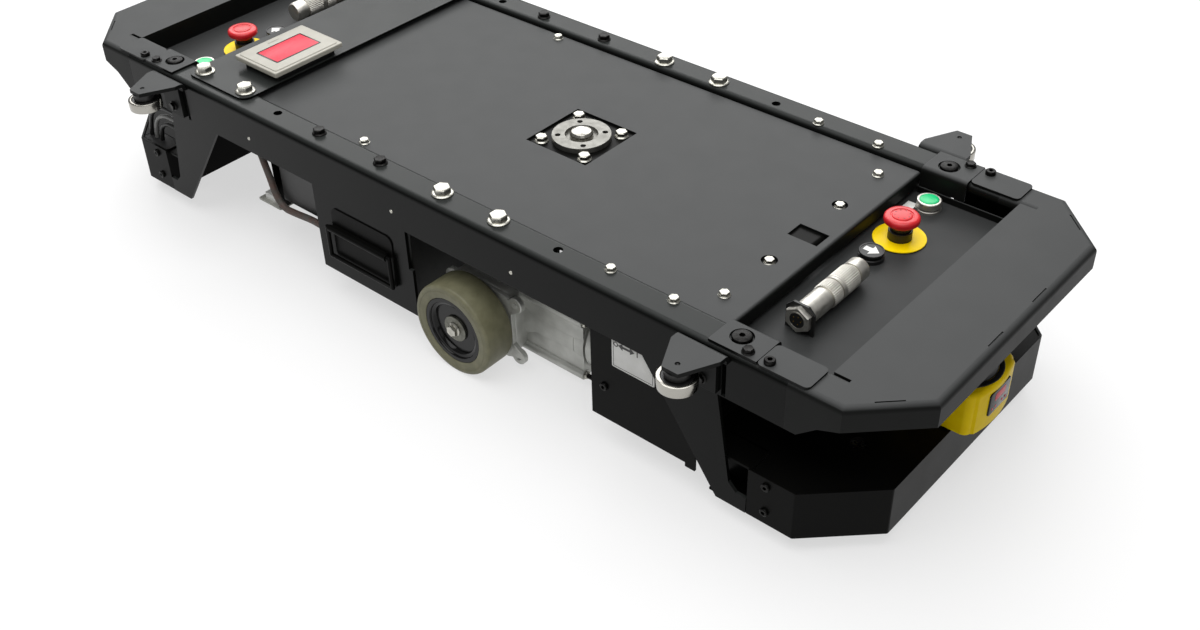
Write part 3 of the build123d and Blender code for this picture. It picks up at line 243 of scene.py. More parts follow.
finishes = {
    "sheetPaint": ("black_paint", powderCoat("blackPowderCoat", "#0b0b0a", "#0e0e0d", 0.32, 0.05)),
    # The third colour of deckPaint, panPaint and railPaint is a painted top sheen; the pans' is dimmer,
    # painted shade of the recess they lie in
    "deckPaint": ("black_paint",
                  powderCoat("blackPowderCoatDeck", "#0e0f0e", "#111211", 0.47, 0.12, "#444545")),
    "panPaint": ("black_paint",
                 powderCoat("blackPowderCoatPan", "#0e0f0e", "#111211", 0.42, 0.10, "#363737")),
    "railPaint": ("black_paint",
                  powderCoat("blackPowderCoatRail", "#090a09", "#0c0d0c", 0.25, 0.09, "#2f3130")),
    "glossPaint": ("gloss_black", powderCoat("glossBlackPaint", "#090909", "#0c0c0c", 0.16, 0.22)),
    "zinc": ("zinc", platedSteel("brightZincPlate", "#bfbdb4", "#a9a8a0", 0.28, 6 * mm, 0.5 * mm)),
    "turnedSteel": ("bright_steel", platedSteel("turnedFlangeSteel", "#8f8e89", "#83827d", 0.5, 20 * mm)),
    "groundSteel": ("bright_steel", platedSteel("groundBearingSteel", "#aba9a2", "#a29f98", 0.2, 45 * mm)),
    "satinNickel": ("satin_nickel", platedSteel("satinNickelPlate", "#e2dfd7", "#d3d0c8", 0.42, 10 * mm)),
    "blackOxide": ("black_screws",
                   platedSteel("blackOxideSteel", "#1d1c1c", "#2a2a29", 0.38, 4 * mm, 0.4 * mm)),
    "castAluminium": ("cast_aluminium", castMetal("blastedDieCast", "#c8c9c4", "#b7b8b3", 0.45)),
    "polyurethane": ("olive_polyurethane",
                     moulded("olivePolyurethane", "#7f7d62", "#737157", 0.5, 0.9 * mm, 0.1)),
    "greyRubber": ("grey_rubber", moulded("greyRubber", "#2c2c2c", "#242424", 0.6)),
    "blackPlastic": ("black_plastic", moulded("blackNylon", "#131313", "#1b1b1b", 0.42)),
    "yellowPlastic": ("yellow_plastic", moulded("yellowAbs", "#ffdd00", "#fbd600", 0.4, specular=0.15)),
    "redPlastic": ("red_plastic", moulded("redPolycarbonate", "#d8242b", "#c81c24", 0.3)),
    "greenLens": ("green_lens", moulded("greenPolycarbonate", "#14cf80", "#10c075", 0.3)),
    "ivoryPlastic": ("ivory_plastic", moulded("ivoryAbs", "#a9a69b", "#a3a095", 0.42)),
    "redWindow": ("red_window", moulded("redAcrylicWindow", "#dc3247", "#d42a40", 0.3, specular=0.2)),
    "lightPaint": ("light_bracket", moulded("lightGreyPaint", "#bdbdb6", "#adada6", 0.5)),
    "cableSheath": ("cable_sheath", moulded("blackPvc", "#141414", "#1d1d1d", 0.45)),
    "silverSheath": ("cable_sheath", moulded("silverPvc", "#8c8c8a", "#7a7a78", 0.4)),
    "greyBraid": ("cable_sheath", moulded("greyBraidedSleeve", "#56534f", "#5f4a43", 0.6, 1.6 * mm, 0.5)),
    "whiteLabel": ("ivory_plastic", moulded("whiteLabelPlastic", "#e9e9e6", "#e2e2de", 0.4)),
    "mustardLabel": ("yellow_plastic", moulded("mustardLabelFilm", "#c79a0a", "#bd9108", 0.4)),
    "washerSteel": ("zinc", platedSteel("greyPhosphatedSteel", "#77776f", "#66665f", 0.45, 5 * mm)),
    "brass": ("bright_steel", platedSteel("turnedBrass", "#b58a3a", "#a67d33", 0.25, 4 * mm)),
    "redFoil": ("red_plastic", moulded("redMarkFilm", "#7c1119", "#6d0f16", 0.45)),
}
print("materials ready:", len(finishes))

upright = Matrix()
facingFront = Matrix(((0, 0, 1, 0), (1, 0, 0, 0), (0, 1, 0, 0), (0, 0, 0, 1)))  # drawn lying, then stood up
endTurns = {"front": upright, "rear": Matrix.Rotation(pi, 4, "Z")}
sharpAngle = radians(32)
joinGap = 0.002 * mm  # corners nearer than this are one


# Parts of pieces, all given in millimetres and made with bmesh operators
def turnedPart(profile, steps=64):
    # Spins a line of radius and height pairs round the upright axis
    part = bmesh.new()
    points = [part.verts.new((radius * mm, 0, height * mm)) for radius, height in profile]
    lines = [part.edges.new(pair) for pair in zip(points, points[1:])]
    bmesh.ops.spin(part, geom=points + lines, axis=(0, 0, 1), angle=tau, steps=steps, use_merge=True)
    bmesh.ops.remove_doubles(part, verts=part.verts, dist=joinGap / 2)
    return part


def ringPart(profile, steps):
    # Spins a line that ends where it began
    return turnedPart(profile + profile[:1], steps)


def slabPart(outline, low, high, edge=0.0, segments=2):
    # Pulls a closed outline up between two heights and rounds its upper rim
    part = bmesh.new()
    base = part.faces.new([part.verts.new((x * mm, y * mm, low * mm)) for x, y in outline])
    pulled = bmesh.ops.extrude_face_region(part, geom=[base])["geom"]
    raised = [item for item in pulled if isinstance(item, bmesh.types.BMVert)]
    bmesh.ops.translate(part, verts=raised, vec=(0, 0, (high - low) * mm))
    if edge:
        rim = [line for line in part.edges if min(vert.co.z for vert in line.verts) > (high - 0.01) * mm]
        bmesh.ops.bevel(part, geom=rim, offset=edge * mm, segments=segments, profile=0.5,
                        affect="EDGES", material=-1)
    return part


def roundedOutline(x0, x1, y0, y1, radius, steps=6):
    points = []
    for cx, cy, start in ((x1 - radius, y1 - radius, 0), (x0 + radius, y1 - radius, 90),
                          (x0 + radius, y0 + radius, 180), (x1 - radius, y0 + radius, 270)):
        for step in range(steps + 1):
            angle = radians(start + 90 * step / steps)
            points.append((cx + radius * cos(angle), cy + radius * sin(angle)))
    return points


def roundSlab(x0, x1, y0, y1, low, high, radius=1.0, edge=0.3):
    return slabPart(roundedOutline(x0, x1, y0, y1, radius), low, high, edge)


def hexPart(across, low, high, edge, dish):
    # A hexagon with a chamfered and slightly dished top
    part = bmesh.new()
    radius = across / sqrt(3) * mm
    bmesh.ops.create_cone(part, cap_ends=True, segments=6, radius1=radius, radius2=radius,
                          depth=(high - low) * mm)
    bmesh.ops.translate(part, verts=part.verts, vec=(0, 0, (high + low) / 2 * mm))
    top = max(part.faces, key=lambda face: face.calc_center_median().z)
    bmesh.ops.bevel(part, geom=list(top.edges), offset=edge * mm, segments=1, profile=0.5,
                    affect="EDGES", material=-1)
    if dish:
        top = max(part.faces, key=lambda face: face.calc_center_median().z)
        bmesh.ops.inset_individual(part, faces=[top], thickness=across * 0.13 * mm)
        top = min((face for face in part.faces if face.calc_center_median().z > (high - 0.01) * mm),
                  key=lambda face: face.calc_center_median().to_2d().length - len(face.verts))
        bmesh.ops.translate(part, verts=list(top.verts), vec=(0, 0, -dish * mm))
    return part


def addPart(shape, part, place):
    # Cleans a part, sets it in its place and adds it to the shape
    bmesh.ops.remove_doubles(part, verts=part.verts, dist=joinGap / 2)
    bmesh.ops.recalc_face_normals(part, faces=part.faces)
    part.transform(place)
    carrier = meshOf(part, "carrier")
    shape.from_mesh(carrier)
    bpy.data.meshes.remove(carrier)


def standOn(x, y, z, turn=upright):
    return Matrix.Translation((x * mm, y * mm, z * mm)) @ turn


def facing(direction):
    return Vector(direction).to_track_quat("Z", "Y").to_matrix().to_4x4()


def finishPiece(name, shape, finish, nodes=(), body="chassis", edge=0.0):
    # Makes the shape an object with its finish, broken edges and even shading on the body it rides on
    mesh = meshOf(shape, name)
    piece = addObject(name, mesh)
    slot, material = finishes[finish]
    mesh.materials.append(material)
    mesh.shade_smooth()
    mesh.set_sharp_from_angle(angle=sharpAngle)
    if edge:
        bevel = piece.modifiers.new("brokenEdge", "BEVEL")
        bevel.width = edge * mm
        bevel.segments = 2
        bevel.limit_method = "ANGLE"
        bevel.angle_limit = sharpAngle
        bevel.use_clamp_overlap = True
        weights = piece.modifiers.new("evenShading", "WEIGHTED_NORMAL")
        weights.mode = "FACE_AREA"
        weights.weight = 80
        weights.keep_sharp = False
    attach(piece, body)
    if nodes:
        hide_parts(*nodes)
        remade.update(nodes)


def madePiece(name, parts, finish, nodes=(), body="chassis"):
    # A piece from parts, each with the place where it goes
    shape = bmesh.new()
    for part, place in parts:
        addPart(shape, part, place)
    finishPiece(name, shape, finish, nodes, body)


def capitalName(node):
    return "".join(word.capitalize() for word in node.split("_"))


def camelName(node):
    name = capitalName(node)
    return name[0].lower() + name[1:]


def nodeShape(node):
    # The node's own shape with its loose triangles merged
    shape = bmesh.new()
    shape.from_mesh(frame["nodes"][node].data)
    bmesh.ops.remove_doubles(shape, verts=shape.verts, dist=joinGap)
    return shape


def cleanCopy(node):
    # The node's own shape with its flat faces joined
    shape = nodeShape(node)
    bmesh.ops.dissolve_limit(shape, angle_limit=radians(0.6), verts=shape.verts, edges=shape.edges)
    return shape


def islands(shape):
    # The groups of faces that hang together; a group grows while it is gone through
    done, found = set(), []
    for start in shape.faces:
        if start not in done:
            done.add(start)
            group = [start]
            for face in group:
                fresh = {other for line in face.edges for other in line.link_faces} - done
                done |= fresh
                group += fresh
            found.append(group)
    return found


# The nodes that keep their own shape, by finish and the width in millimetres of their broken edges
keptShapes = {
    ("railPaint", 0.6): "side_frame_left side_frame_right display_base",
    ("deckPaint", 0.6): "deck_plate head_plate_front head_plate_rear corner_plates roller_brackets",
    ("panPaint", 0.4): "recess_pans",
    ("sheetPaint", 0.6): "skirt_front skirt_rear",
    ("sheetPaint", 0.5): "cross_members end_frames under_panels battery_lid",
    ("sheetPaint", 0): "box_handle",
    ("turnedSteel", 0.4): "tow_flange",
    ("groundSteel", 0.5): "tow_pin",
    ("castAluminium", 0.8): "tow_lift_unit",
    ("blackPlastic", 0.8): "battery controller_boxes",
    ("blackPlastic", 0.5): "stop_collars",
    ("blackPlastic", 0.4): "stop_plunger_front stop_plunger_rear",
    ("zinc", 0.3): "caster_plates",
    ("zinc", 0.4): " ".join("caster_fork_" + corner for corner in corners),
    ("greyRubber", 0.4): " ".join("caster_wheel_" + corner for corner in corners),
}
nodeFinishes = {node: look for look, nodes in keptShapes.items() for node in nodes.split()}


# Screws: the places come from the frame's own solids, the shapes from the screw's size
def flangedHead(radius, length, across, height, shank):
    rim = height * 0.2
    flange = turnedPart([
        (0, -length), (shank - 0.5, -length), (shank, 0.5 - length), (shank, 0), (radius - 0.3, 0),
        (radius, 0.3), (radius, rim * 0.7), (radius - 0.5, rim), (across * 0.56, rim + 0.9),
        (0, rim + 0.9)], 40)
    return [flange, hexPart(across, rim * 0.5, height, height * 0.1, height * 0.05)]


def socketHead(radius, length, across, height, shank):
    # Low head with rounded rim and an open hexagon socket
    head = turnedPart([
        (0, -length), (shank, -length), (shank, 0), (radius - 0.2, 0), (radius, 0.2),
        (radius, height * 0.62), (radius * 0.94, height * 0.86), (radius * 0.82, height)], 40)
    rim = [line for line in head.edges if line.is_boundary]
    socket = bmesh.ops.create_circle(head, segments=6, radius=across / sqrt(3) * mm,
                                     matrix=Matrix.Translation((0, 0, height * mm)))["verts"]
    sides = list({line for vert in socket for line in vert.link_edges})
    bmesh.ops.bridge_loops(head, edges=rim + sides)
    walls = bmesh.ops.extrude_edge_only(head, edges=sides)["geom"]
    floor = [item for item in walls if isinstance(item, bmesh.types.BMVert)]
    bmesh.ops.translate(head, verts=floor, vec=(0, 0, -height * 0.55 * mm))
    bmesh.ops.holes_fill(head, edges=[line for line in head.edges if line.is_boundary])
    return [head]


def rivetHead(radius, length, across, height, shank):
    return [turnedPart([(0, -length), (shank, -length), (shank, 0), (radius, 0), (radius * 0.9, height * 0.5),
                        (radius * 0.5, height * 0.9), (0, height)], 24)]


def throughBolt(radius, length, across, height, shank):
    # A bright nut on the motor flange; its dark thread end is a piece of its own
    return [hexPart(2 * radius - 1, -9.4, -5.6, 0.4, 0)]


# By the head's radius: its maker, the width across its flats, its height and the shank's radius
screwKinds = {
    13: (flangedHead, 18, 9, 6), 8.8: (flangedHead, 13, 7, 4), 6.8: (flangedHead, 10, 5, 3),
    10.5: (socketHead, 6, 5, 4), 6: (socketHead, 5, 5, 3), 5: (socketHead, 4, 3, 3),
    4.6: (throughBolt, 4, 4, 3), 2.4: (rivetHead, 0, 1.2, 1.5),
}


def dressScrews(node, finish):
    shape = bmesh.new()
    solids = nodeShape(node)
    for group in islands(solids):
        points = [vert.co for face in group for vert in face.verts]
        low = Vector([min(point[axis] for point in points) for axis in range(3)])
        high = Vector([max(point[axis] for point in points) for axis in range(3)])
        middle = (low + high) / 2
        size = (high - low) / mm
        along, radius = min(
            ((axis, kindRadius) for axis in range(3) for kindRadius in screwKinds),
            key=lambda pick: sum(abs(size[axis] - 2 * pick[1]) for axis in range(3) if axis != pick[0]))
        maker, *sizes = screwKinds[radius]
        headHeight = sizes[1]
        direction = Vector((0, 0, 0))
        direction[along] = 1 if along != 1 or middle.y > 0 else -1
        seat = middle + direction * (size[along] / 2 - headHeight) * mm
        place = Matrix.Translation(seat) @ facing(direction)
        for part in maker(radius, size[along] - headHeight, *sizes):
            addPart(shape, part, place)
    solids.free()
    finishPiece(camelName(node), shape, finish, [node])


dressScrews("zinc_bolts", "zinc")
dressScrews("black_bolts", "blackOxide")
print("screws made")


# Guide rollers: shielded ball bearings on shouldered studs
rollerValues = {"x": 432, "y": 268, "low": 192.3, "high": 205.3, "radius": 21, "bore": 10.55,
                "shieldRadius": 16.6, "capRadius": 10, "spacerRadius": 13.5, "spacerTop": 214}


def makeRollers(values):
    low, high, radius, bore, shield = take(values, "low high radius bore shieldRadius")
    cap, spacer, top = take(values, "capRadius spacerRadius spacerTop")
    studs, spacers = [], []
    for corner in corners:
        end, side = corner.split("_")
        place = standOn(ends[end] * values["x"], sides[side] * values["y"], 0)
        ring = ringPart([
            (shield, low + 0.9), (shield + 0.5, low), (radius - 1.0, low), (radius - 0.3, low + 0.4),
            (radius, low + 1.2), (radius, high - 1.2), (radius - 0.3, high - 0.4), (radius - 1.0, high),
            (shield + 0.5, high), (shield, high - 0.9)], 96)
        seals = ringPart([
            (bore, low + 1.1), (bore, high - 1.1), (bore + 1.2, high - 0.7), (shield - 0.6, high - 0.9),
            (shield, high - 1.4), (shield, low + 1.4), (shield - 0.6, low + 0.9),
            (bore + 1.2, low + 0.7)], 72)
        nodes, body = ["guide_roller_" + corner], "roller_" + corner
        madePiece("rollerRing" + capitalName(corner), [(ring, place)], "groundSteel", nodes, body)
        madePiece("rollerSeal" + capitalName(corner), [(seals, place)], "blackPlastic", nodes, body)
        studs.append((turnedPart([
            (0, low - 4), (cap - 2, low - 4), (cap, low - 2), (cap, low), (bore - 0.05, low),
            (bore - 0.05, high), (7.6, high), (7.6, high + 0.2), (0, high + 0.2)], 64), place))
        spacers += [
            (turnedPart([(0, top - 0.2), (2.6, top - 0.2), (2.6, top + 3.6), (2, top + 4), (1.2, top + 3.2),
                         (0, top + 3.2)], 24), place),
            (ringPart([(7.4, high + 0.1), (spacer - 1, high + 0.3), (spacer, high + 1.2), (spacer, top - 0.1),
                       (7.4, top - 0.1)], 64), place),
        ]
    madePiece("rollerStuds", studs, "groundSteel", ["roller_studs"])
    madePiece("rollerSpacers", spacers, "blackPlastic", ["roller_studs"])


makeRollers(rollerValues)
print("guide rollers made")


# Drive wheels: moulded tyre on a stepped black hub, held by a washer and a hexagon screw
wheelValues = {"x": 76, "z": 60, "innerFace": 194.4, "width": 42, "radius": 60, "hubRadius": 43.5,
               "dishRadius": 33, "dishDepth": 7, "washerRadius": 17, "shaftRadius": 12,
               "shaftLength": 20.4, "screwRadius": 8.8}


def makeWheels(values):
    width, radius, hub, dish, washer = take(values, "width radius hubRadius dishRadius washerRadius")
    shaft, screwRadius = take(values, "shaftRadius screwRadius")
    floor, inward = width - 1 - values["dishDepth"], -values["shaftLength"]
    for side, sign in sides.items():
        place = standOn(values["x"], sign * values["innerFace"], values["z"], facing((0, sign, 0)))
        tyre = ringPart([
            (hub, 0), (radius - 4, 0), (radius - 1.2, 1.2), (radius, 4), (radius, width - 4),
            (radius - 0.5, width - 2.2), (radius - 1.6, width - 0.9), (radius - 3.4, width - 0.25),
            (radius - 5, width), (radius - 6.2, width), (radius - 6.6, width - 0.5),
            (radius - 7.6, width - 0.5), (radius - 8, width - 0.2), (hub + 1, width - 0.2),
            (hub, width - 0.8)], 128)
        core = turnedPart([
            (0, inward), (shaft, inward), (shaft, 4), (hub - 6, 4), (hub - 3, 1), (hub - 0.05, 1),
            (hub - 0.05, width - 1.6), (hub - 0.7, width - 1), (dish + 5.2, width - 1),
            (dish + 4.4, width - 1.8), (dish + 4.0, width - 3.2), (dish + 1.0, width - 3.6),
            (dish, width - 4.4), (dish - 1.5, floor), (0, floor)], 128)
        disc = turnedPart([
            (0, floor), (washer, floor), (washer, floor + 2.4), (washer - 0.6, floor + 3),
            (0, floor + 3)], 64)
        body, hubNode, label = "drive_wheel_" + side, ["drive_hub_" + side], capitalName(side)
        madePiece("driveTyre" + label, [(tyre, place)], "polyurethane", ["drive_tyre_" + side], body)
        madePiece("driveHub" + label, [(core, place)], "glossPaint", hubNode, body)
        madePiece("driveWasher" + label, [(disc, place)], "washerSteel", hubNode, body)
        screwPlace = place @ standOn(0, 0, floor + 3)
        screw = [(part, screwPlace) for part in flangedHead(screwRadius, 2.0, *screwKinds[screwRadius][1:])]
        madePiece("driveScrew" + label, screw, "zinc", hubNode, body)


makeWheels(wheelValues)
print("drive wheels made")


# Emergency stops: yellow disc on a gasket, and a mushroom cap with a finger groove
stopValues = {"x": 466, "y": 83, "panTop": 189, "gasketHole": 11.3, "discRadius": 30,
              "discHole": 13.6, "capUnder": 207, "capRadius": 20, "capHeight": 14, "marks": 8,
              "markCircle": 8.4}


def makeStops(values):
    low, under, radius, height = take(values, "panTop capUnder capRadius capHeight")
    disc, hole, gasket = take(values, "discRadius discHole gasketHole")
    top = under + height
    gaskets, discs = [], []
    for end, turn in endTurns.items():
        place = turn @ standOn(values["x"], values["y"], 0)
        gaskets.append((ringPart([
            (gasket, low), (disc, low), (disc, low + 0.8), (gasket, low + 0.8)], 96), place))
        discs.append((ringPart([
            (hole, low + 0.8), (disc - 0.6, low + 0.8), (disc - 0.3, low + 1.1), (disc - 0.5, low + 1.9),
            (disc - 0.9, low + 2), (hole, low + 2)], 96), place))
        cap = turnedPart([
            (0, under + 5.3), (3.05, under + 5.3), (3.05, under + 0.1), (12.2, under + 0.1),
            (12.8, under + 0.5), (13.2, under + 3.4), (14.2, under + 4.4), (radius - 1.6, under + 5.0),
            (radius - 0.4, under + 5.8), (radius, under + 7.2), (radius, top - 4.6),
            (radius - 0.4, top - 2.8), (radius - 1.6, top - 1.4), (radius - 3.2, top - 0.8),
            (12.8, top - 0.7), (12.3, top - 1.4), (11.5, top - 1.4), (11.0, top - 0.5), (9.5, top),
            (0, top)], 96)
        body = "stop_cap_" + end
        madePiece("stopCap" + capitalName(end), [(cap, place)], "redPlastic", [body], body)
        marks = []
        for step in range(values["marks"]):
            about = Matrix.Rotation(tau * step / values["marks"], 4, "Z")
            wedge = slabPart([(-1.0, -0.6), (1.0, -0.6), (0.4, 0.7), (-0.4, 0.7)], top - 0.3, top + 0.05)
            marks.append((wedge, place @ about @ standOn(0, values["markCircle"], 0)))
        madePiece("stopMarks" + capitalName(end), marks, "redFoil", body=body)
    madePiece("stopGaskets", gaskets, "blackPlastic", ["stop_legends"])
    madePiece("stopDiscs", discs, "yellowPlastic", ["stop_legends"])


makeStops(stopValues)
print("emergency stops made")


# Push buttons: green lens in a bright ring, and a black one with a white arrow
buttonValues = {
    "panTop": 189, "bezelRadius": 14.5, "buttonRadius": 10.9, "gap": 0.3, "bodyRadius": 11,
    "contactHalf": 15, "collarRadius": 12.6,
    "start": {"x": 460, "y": 155, "bezelHeight": 11, "height": 18},
    "arrow": {"x": 461.5, "y": 32, "bezelHeight": 5, "height": 11},
}


def makeButtons(values):
    low, outer, radius, collar = take(values, "panTop bezelRadius buttonRadius collarRadius")
    barrel, half, start, arrow = take(values, "bodyRadius contactHalf start arrow")
    inner = radius + values["gap"]
    bright, dark, bases = [], [], []
    for end, turn in endTurns.items():
        startPlace = turn @ standOn(start["x"], start["y"], low)
        arrowPlace = turn @ standOn(arrow["x"], arrow["y"], low)
        high = start["bezelHeight"]
        bright.append((ringPart([
            (collar, 0), (outer, 0), (outer, 2.2), (outer - 0.6, 3.0), (collar, 3.0)], 72), startPlace))
        bright.append((ringPart([
            (inner, 4.2), (outer - 1.2, 4.2), (outer - 0.6, 4.8), (outer - 0.6, high + 0.6),
            (outer - 1.2, high + 1.4), (outer - 2.0, high + 1.6), (inner, high + 1.4)], 72), startPlace))
        dark.append((ringPart([(inner, 0), (collar, 0), (collar, 4.2), (inner, 4.2)], 48), startPlace))
        high = arrow["bezelHeight"]
        dark.append((ringPart([
            (inner, 0), (outer, 0), (outer, high - 0.6), (outer - 0.6, high), (inner, high)], 72),
            arrowPlace))
        for place in (startPlace, arrowPlace):
            bases.append((turnedPart([
                (0, -7), (barrel, -7), (barrel, 0), (inner, 0), (inner, -1), (0, -1)], 48), place))
            bases.append((roundSlab(-half, half, -half, half, -44, -6, 2, 0.5), place))
        high = start["height"]
        lens = turnedPart([
            (0, 2.3), (radius, 2.3), (radius, high - 5.6), (radius - 0.5, high - 5.0),
            (radius - 1.4, high - 4.7), (radius - 4, high - 4.5), (0, high - 4.4)], 72)
        body = "start_button_" + end
        madePiece("startLens" + capitalName(end), [(lens, startPlace)], "greenLens", [body], body)
        high = arrow["height"]
        key = turnedPart([
            (0, 2.3), (radius, 2.3), (radius, high - 2.8), (outer - 0.8, high - 2.8),
            (outer - 0.6, high - 2.4), (outer - 0.6, high - 0.6), (outer - 0.9, high - 0.2),
            (outer - 2.0, high - 0.2), (outer - 2.4, high - 0.8), (0, high - 0.8)], 72)
        body = "arrow_button_" + end
        madePiece("arrowKey" + capitalName(end), [(key, arrowPlace)], "blackPlastic", [body], body)
        sign = slabPart([(-3.6, -9), (3.6, -9), (3.6, -0.5), (8.6, -0.5), (0, 9.4), (-8.6, -0.5),
                         (-3.6, -0.5)], high - 0.9, high - 0.6)
        signPlace = arrowPlace @ Matrix.Rotation(-pi / 2, 4, "Z")
        madePiece("arrowSign" + capitalName(end), [(sign, signPlace)], "whiteLabel", body=body)
    madePiece("startRings", bright, "satinNickel", ["button_bezels"])
    madePiece("buttonDarkRings", dark, "blackPlastic", ["button_bezels"])
    madePiece("buttonBases", bases, "blackPlastic", ["button_bezels"])


makeButtons(buttonValues)
print("push buttons made")


# Plug connectors: knurled couplings on a barrel held by a plate and a hexagon nut
plugValues = {"x": 473, "near": -128, "far": -10, "z": 206, "radius": 14, "nut": 6,
              "plate": 3, "ridges": 36, "grooveDepth": 0.9, "pins": 5, "pinCircle": 4.6}


def knurledPart(values, low, high):
    # A short cylinder whose side is cut by upright grooves
    radius, steps = values["radius"], 3 * values["ridges"]
    shrink = 1 - values["grooveDepth"] / radius
    part = turnedPart([(0, low), (radius - 0.8, low), (radius, low + 0.8), (radius, high - 0.8),
                       (radius - 0.8, high), (0, high)], steps)
    for vert in part.verts:
        if vert.co.to_2d().length > (radius - 0.1) * mm:
            if round(atan2(vert.co.y, vert.co.x) / tau * steps) % 3 == 0:
                vert.co.x *= shrink
                vert.co.y *= shrink
    return part


def makePlugs(values):
    x, z, r, nut, plate = take(values, "x z radius nut plate")
    mouth = nut + plate
    near = values["near"] + mouth
    length = values["far"] - near
    bright, plates, sockets, pins = [], [], [], []
    for turn in endTurns.values():
        place = turn @ standOn(x, near, z, facing((0, 1, 0)))
        nutPlace = turn @ standOn(x, near, z, facing((0, -1, 0)))
        bright += [
            (turnedPart([
                (0, 0), (r - 3, 0), (r - 3, 3), (r - 1.3, 3), (r - 1, 3.4), (r - 1, 37.6), (r - 1.3, 38),
                (r - 2.5, 38), (r - 2.5, 41), (0, 41)], 72), place),
            (turnedPart([
                (0, 57), (r - 2.5, 57), (r - 2.5, 58.4), (r - 0.4, 58.4), (r, 58.8), (r, 60.6), (r - 0.6, 61),
                (r - 0.6, 61.8), (r, 62.2), (r, 64), (r - 0.4, 64.4), (0, 64.4)], 72), place),
            (turnedPart([
                (0, length - 20), (r - 2.2, length - 20), (r - 2.2, length - 17.5), (r - 0.8, length - 17.2),
                (r - 0.8, length - 3), (r - 2.4, length - 0.4), (r - 4, length), (0, length)], 72), place),
            (knurledPart(values, 41, 57), place),
            (knurledPart(values, 64.4, length - 20), place),
            (hexPart(2 * r - 1, 0, nut - 0.2, 1.0, 0), nutPlace @ standOn(0, 0, plate)),
            (ringPart([(r - 5.4, mouth - 0.6), (r - 3.8, mouth - 0.6), (r - 3.9, mouth),
                       (r - 5.2, mouth)], 64), nutPlace),
        ]
        plates.append((slabPart([(-17, -17), (17, -17), (17, 9), (9, 17), (-9, 17), (-17, 9)], -3, 0, 0.4),
                       place))
        sockets.append((turnedPart([(0, mouth - 0.3), (r - 5.4, mouth - 0.3), (r - 5.4, mouth - 0.1),
                                    (0, mouth - 0.1)], 48), nutPlace))
        for step in range(values["pins"]):
            about = Matrix.Rotation(tau * step / values["pins"], 4, "Z")
            pins.append((turnedPart([(0, 0), (1.0, 0), (1.0, 0.5), (0.6, 0.9), (0, 0.9)], 20),
                         nutPlace @ about @ standOn(values["pinCircle"], 0, mouth - 0.9)))
    for name, group, finish in (
            ("plugBarrels", bright, "satinNickel"), ("plugPlates", plates, "blackPlastic"),
            ("plugSockets", sockets, "blackPlastic"), ("plugPins", pins, "brass")):
        madePiece(name, group, finish, ["plug_connectors"])


makePlugs(plugValues)
print("plug connectors made")


# Display: ivory housing with a soft step, black border and red screen
displayValues = {"x": -339.5, "y": -102, "halfLong": 41.5, "halfWide": 56, "low": 222, "high": 239,
                 "step": 231.5, "boxInset": 8, "windowLong": 21.7, "windowWide": 36.7, "border": 2.2}


def middleOutline(halfLong, halfWide, inset, radius):
    halfLong, halfWide = halfLong - inset, halfWide - inset
    return roundedOutline(-halfLong, halfLong, -halfWide, halfWide, radius)


def makeDisplay(values):
    size, window = take(values, "halfLong halfWide"), take(values, "windowLong windowWide")
    x, y, low, step, high = take(values, "x y low step high")
    place = standOn(x, y, 0)
    box = slabPart(middleOutline(*size, values["boxInset"], 3), low, step + 0.5)
    madePiece("displayBox", [(box, place)], "blackPlastic", ["display_bezel"])
    housing = [
        (slabPart(middleOutline(*size, 0, 3), step, high - 1.6, 1.4, 3), place),
        (slabPart(middleOutline(*size, 4, 4), step + 1, high - 0.6, 1.2, 3), place),
        (roundSlab(9 - size[0], 11 - size[0], -9, 9, high - 0.7, high - 0.1, 0.9, 0.3), place),
    ]
    madePiece("displayHousing", housing, "ivoryPlastic", ["display_bezel"])
    border = slabPart(middleOutline(*window, 0, 2), high - 0.7, high - 0.35, 0.15)
    madePiece("displayBorder", [(border, place)], "glossPaint", ["display_window"])
    screen = slabPart(middleOutline(*window, values["border"], 1), high - 0.5, high - 0.25, 0.1)
    madePiece("displayScreen", [(screen, place)], "redWindow", ["display_window"])


makeDisplay(displayValues)
print("display made")


# Laser scanners: rounded yellow housing, black turned dome, and a window with its lamps in front
scannerValues = {"back": 546, "corner": 636, "nose": 644, "half": 46, "low": 84.5, "high": 137,
                 "domeX": 596, "domeRadius": 40, "domeHeight": 34, "upright": 9, "rim": 5,
                 "windowSink": 2.2, "windowHalf": 21, "lampHalf": 11, "lampPlaces": (-14, -7, 7, 14),
                 "stickerX": 590, "stickerRise": 25}


def scannerOutline(values):
    # Straight sides and back, a bowed front, and rounded upright corners
    half, corner, radius, nose, back = take(values, "half corner upright nose back")
    start, bend, bow = (corner - radius, half), [], []
    for step in range(1, 7):
        angle = radians(90 * step / 7)
        bend.append((start[0] + radius * sin(angle), half - radius + radius * cos(angle)))
    for step in range(-8, 9):
        y = (half - radius) * step / 8
        bow.append((corner + (nose - corner) * (1 - (y / half) ** 2), y))
    side = [(back, half), start, *bend]
    return [(x, -y) for x, y in side] + bow + side[::-1]


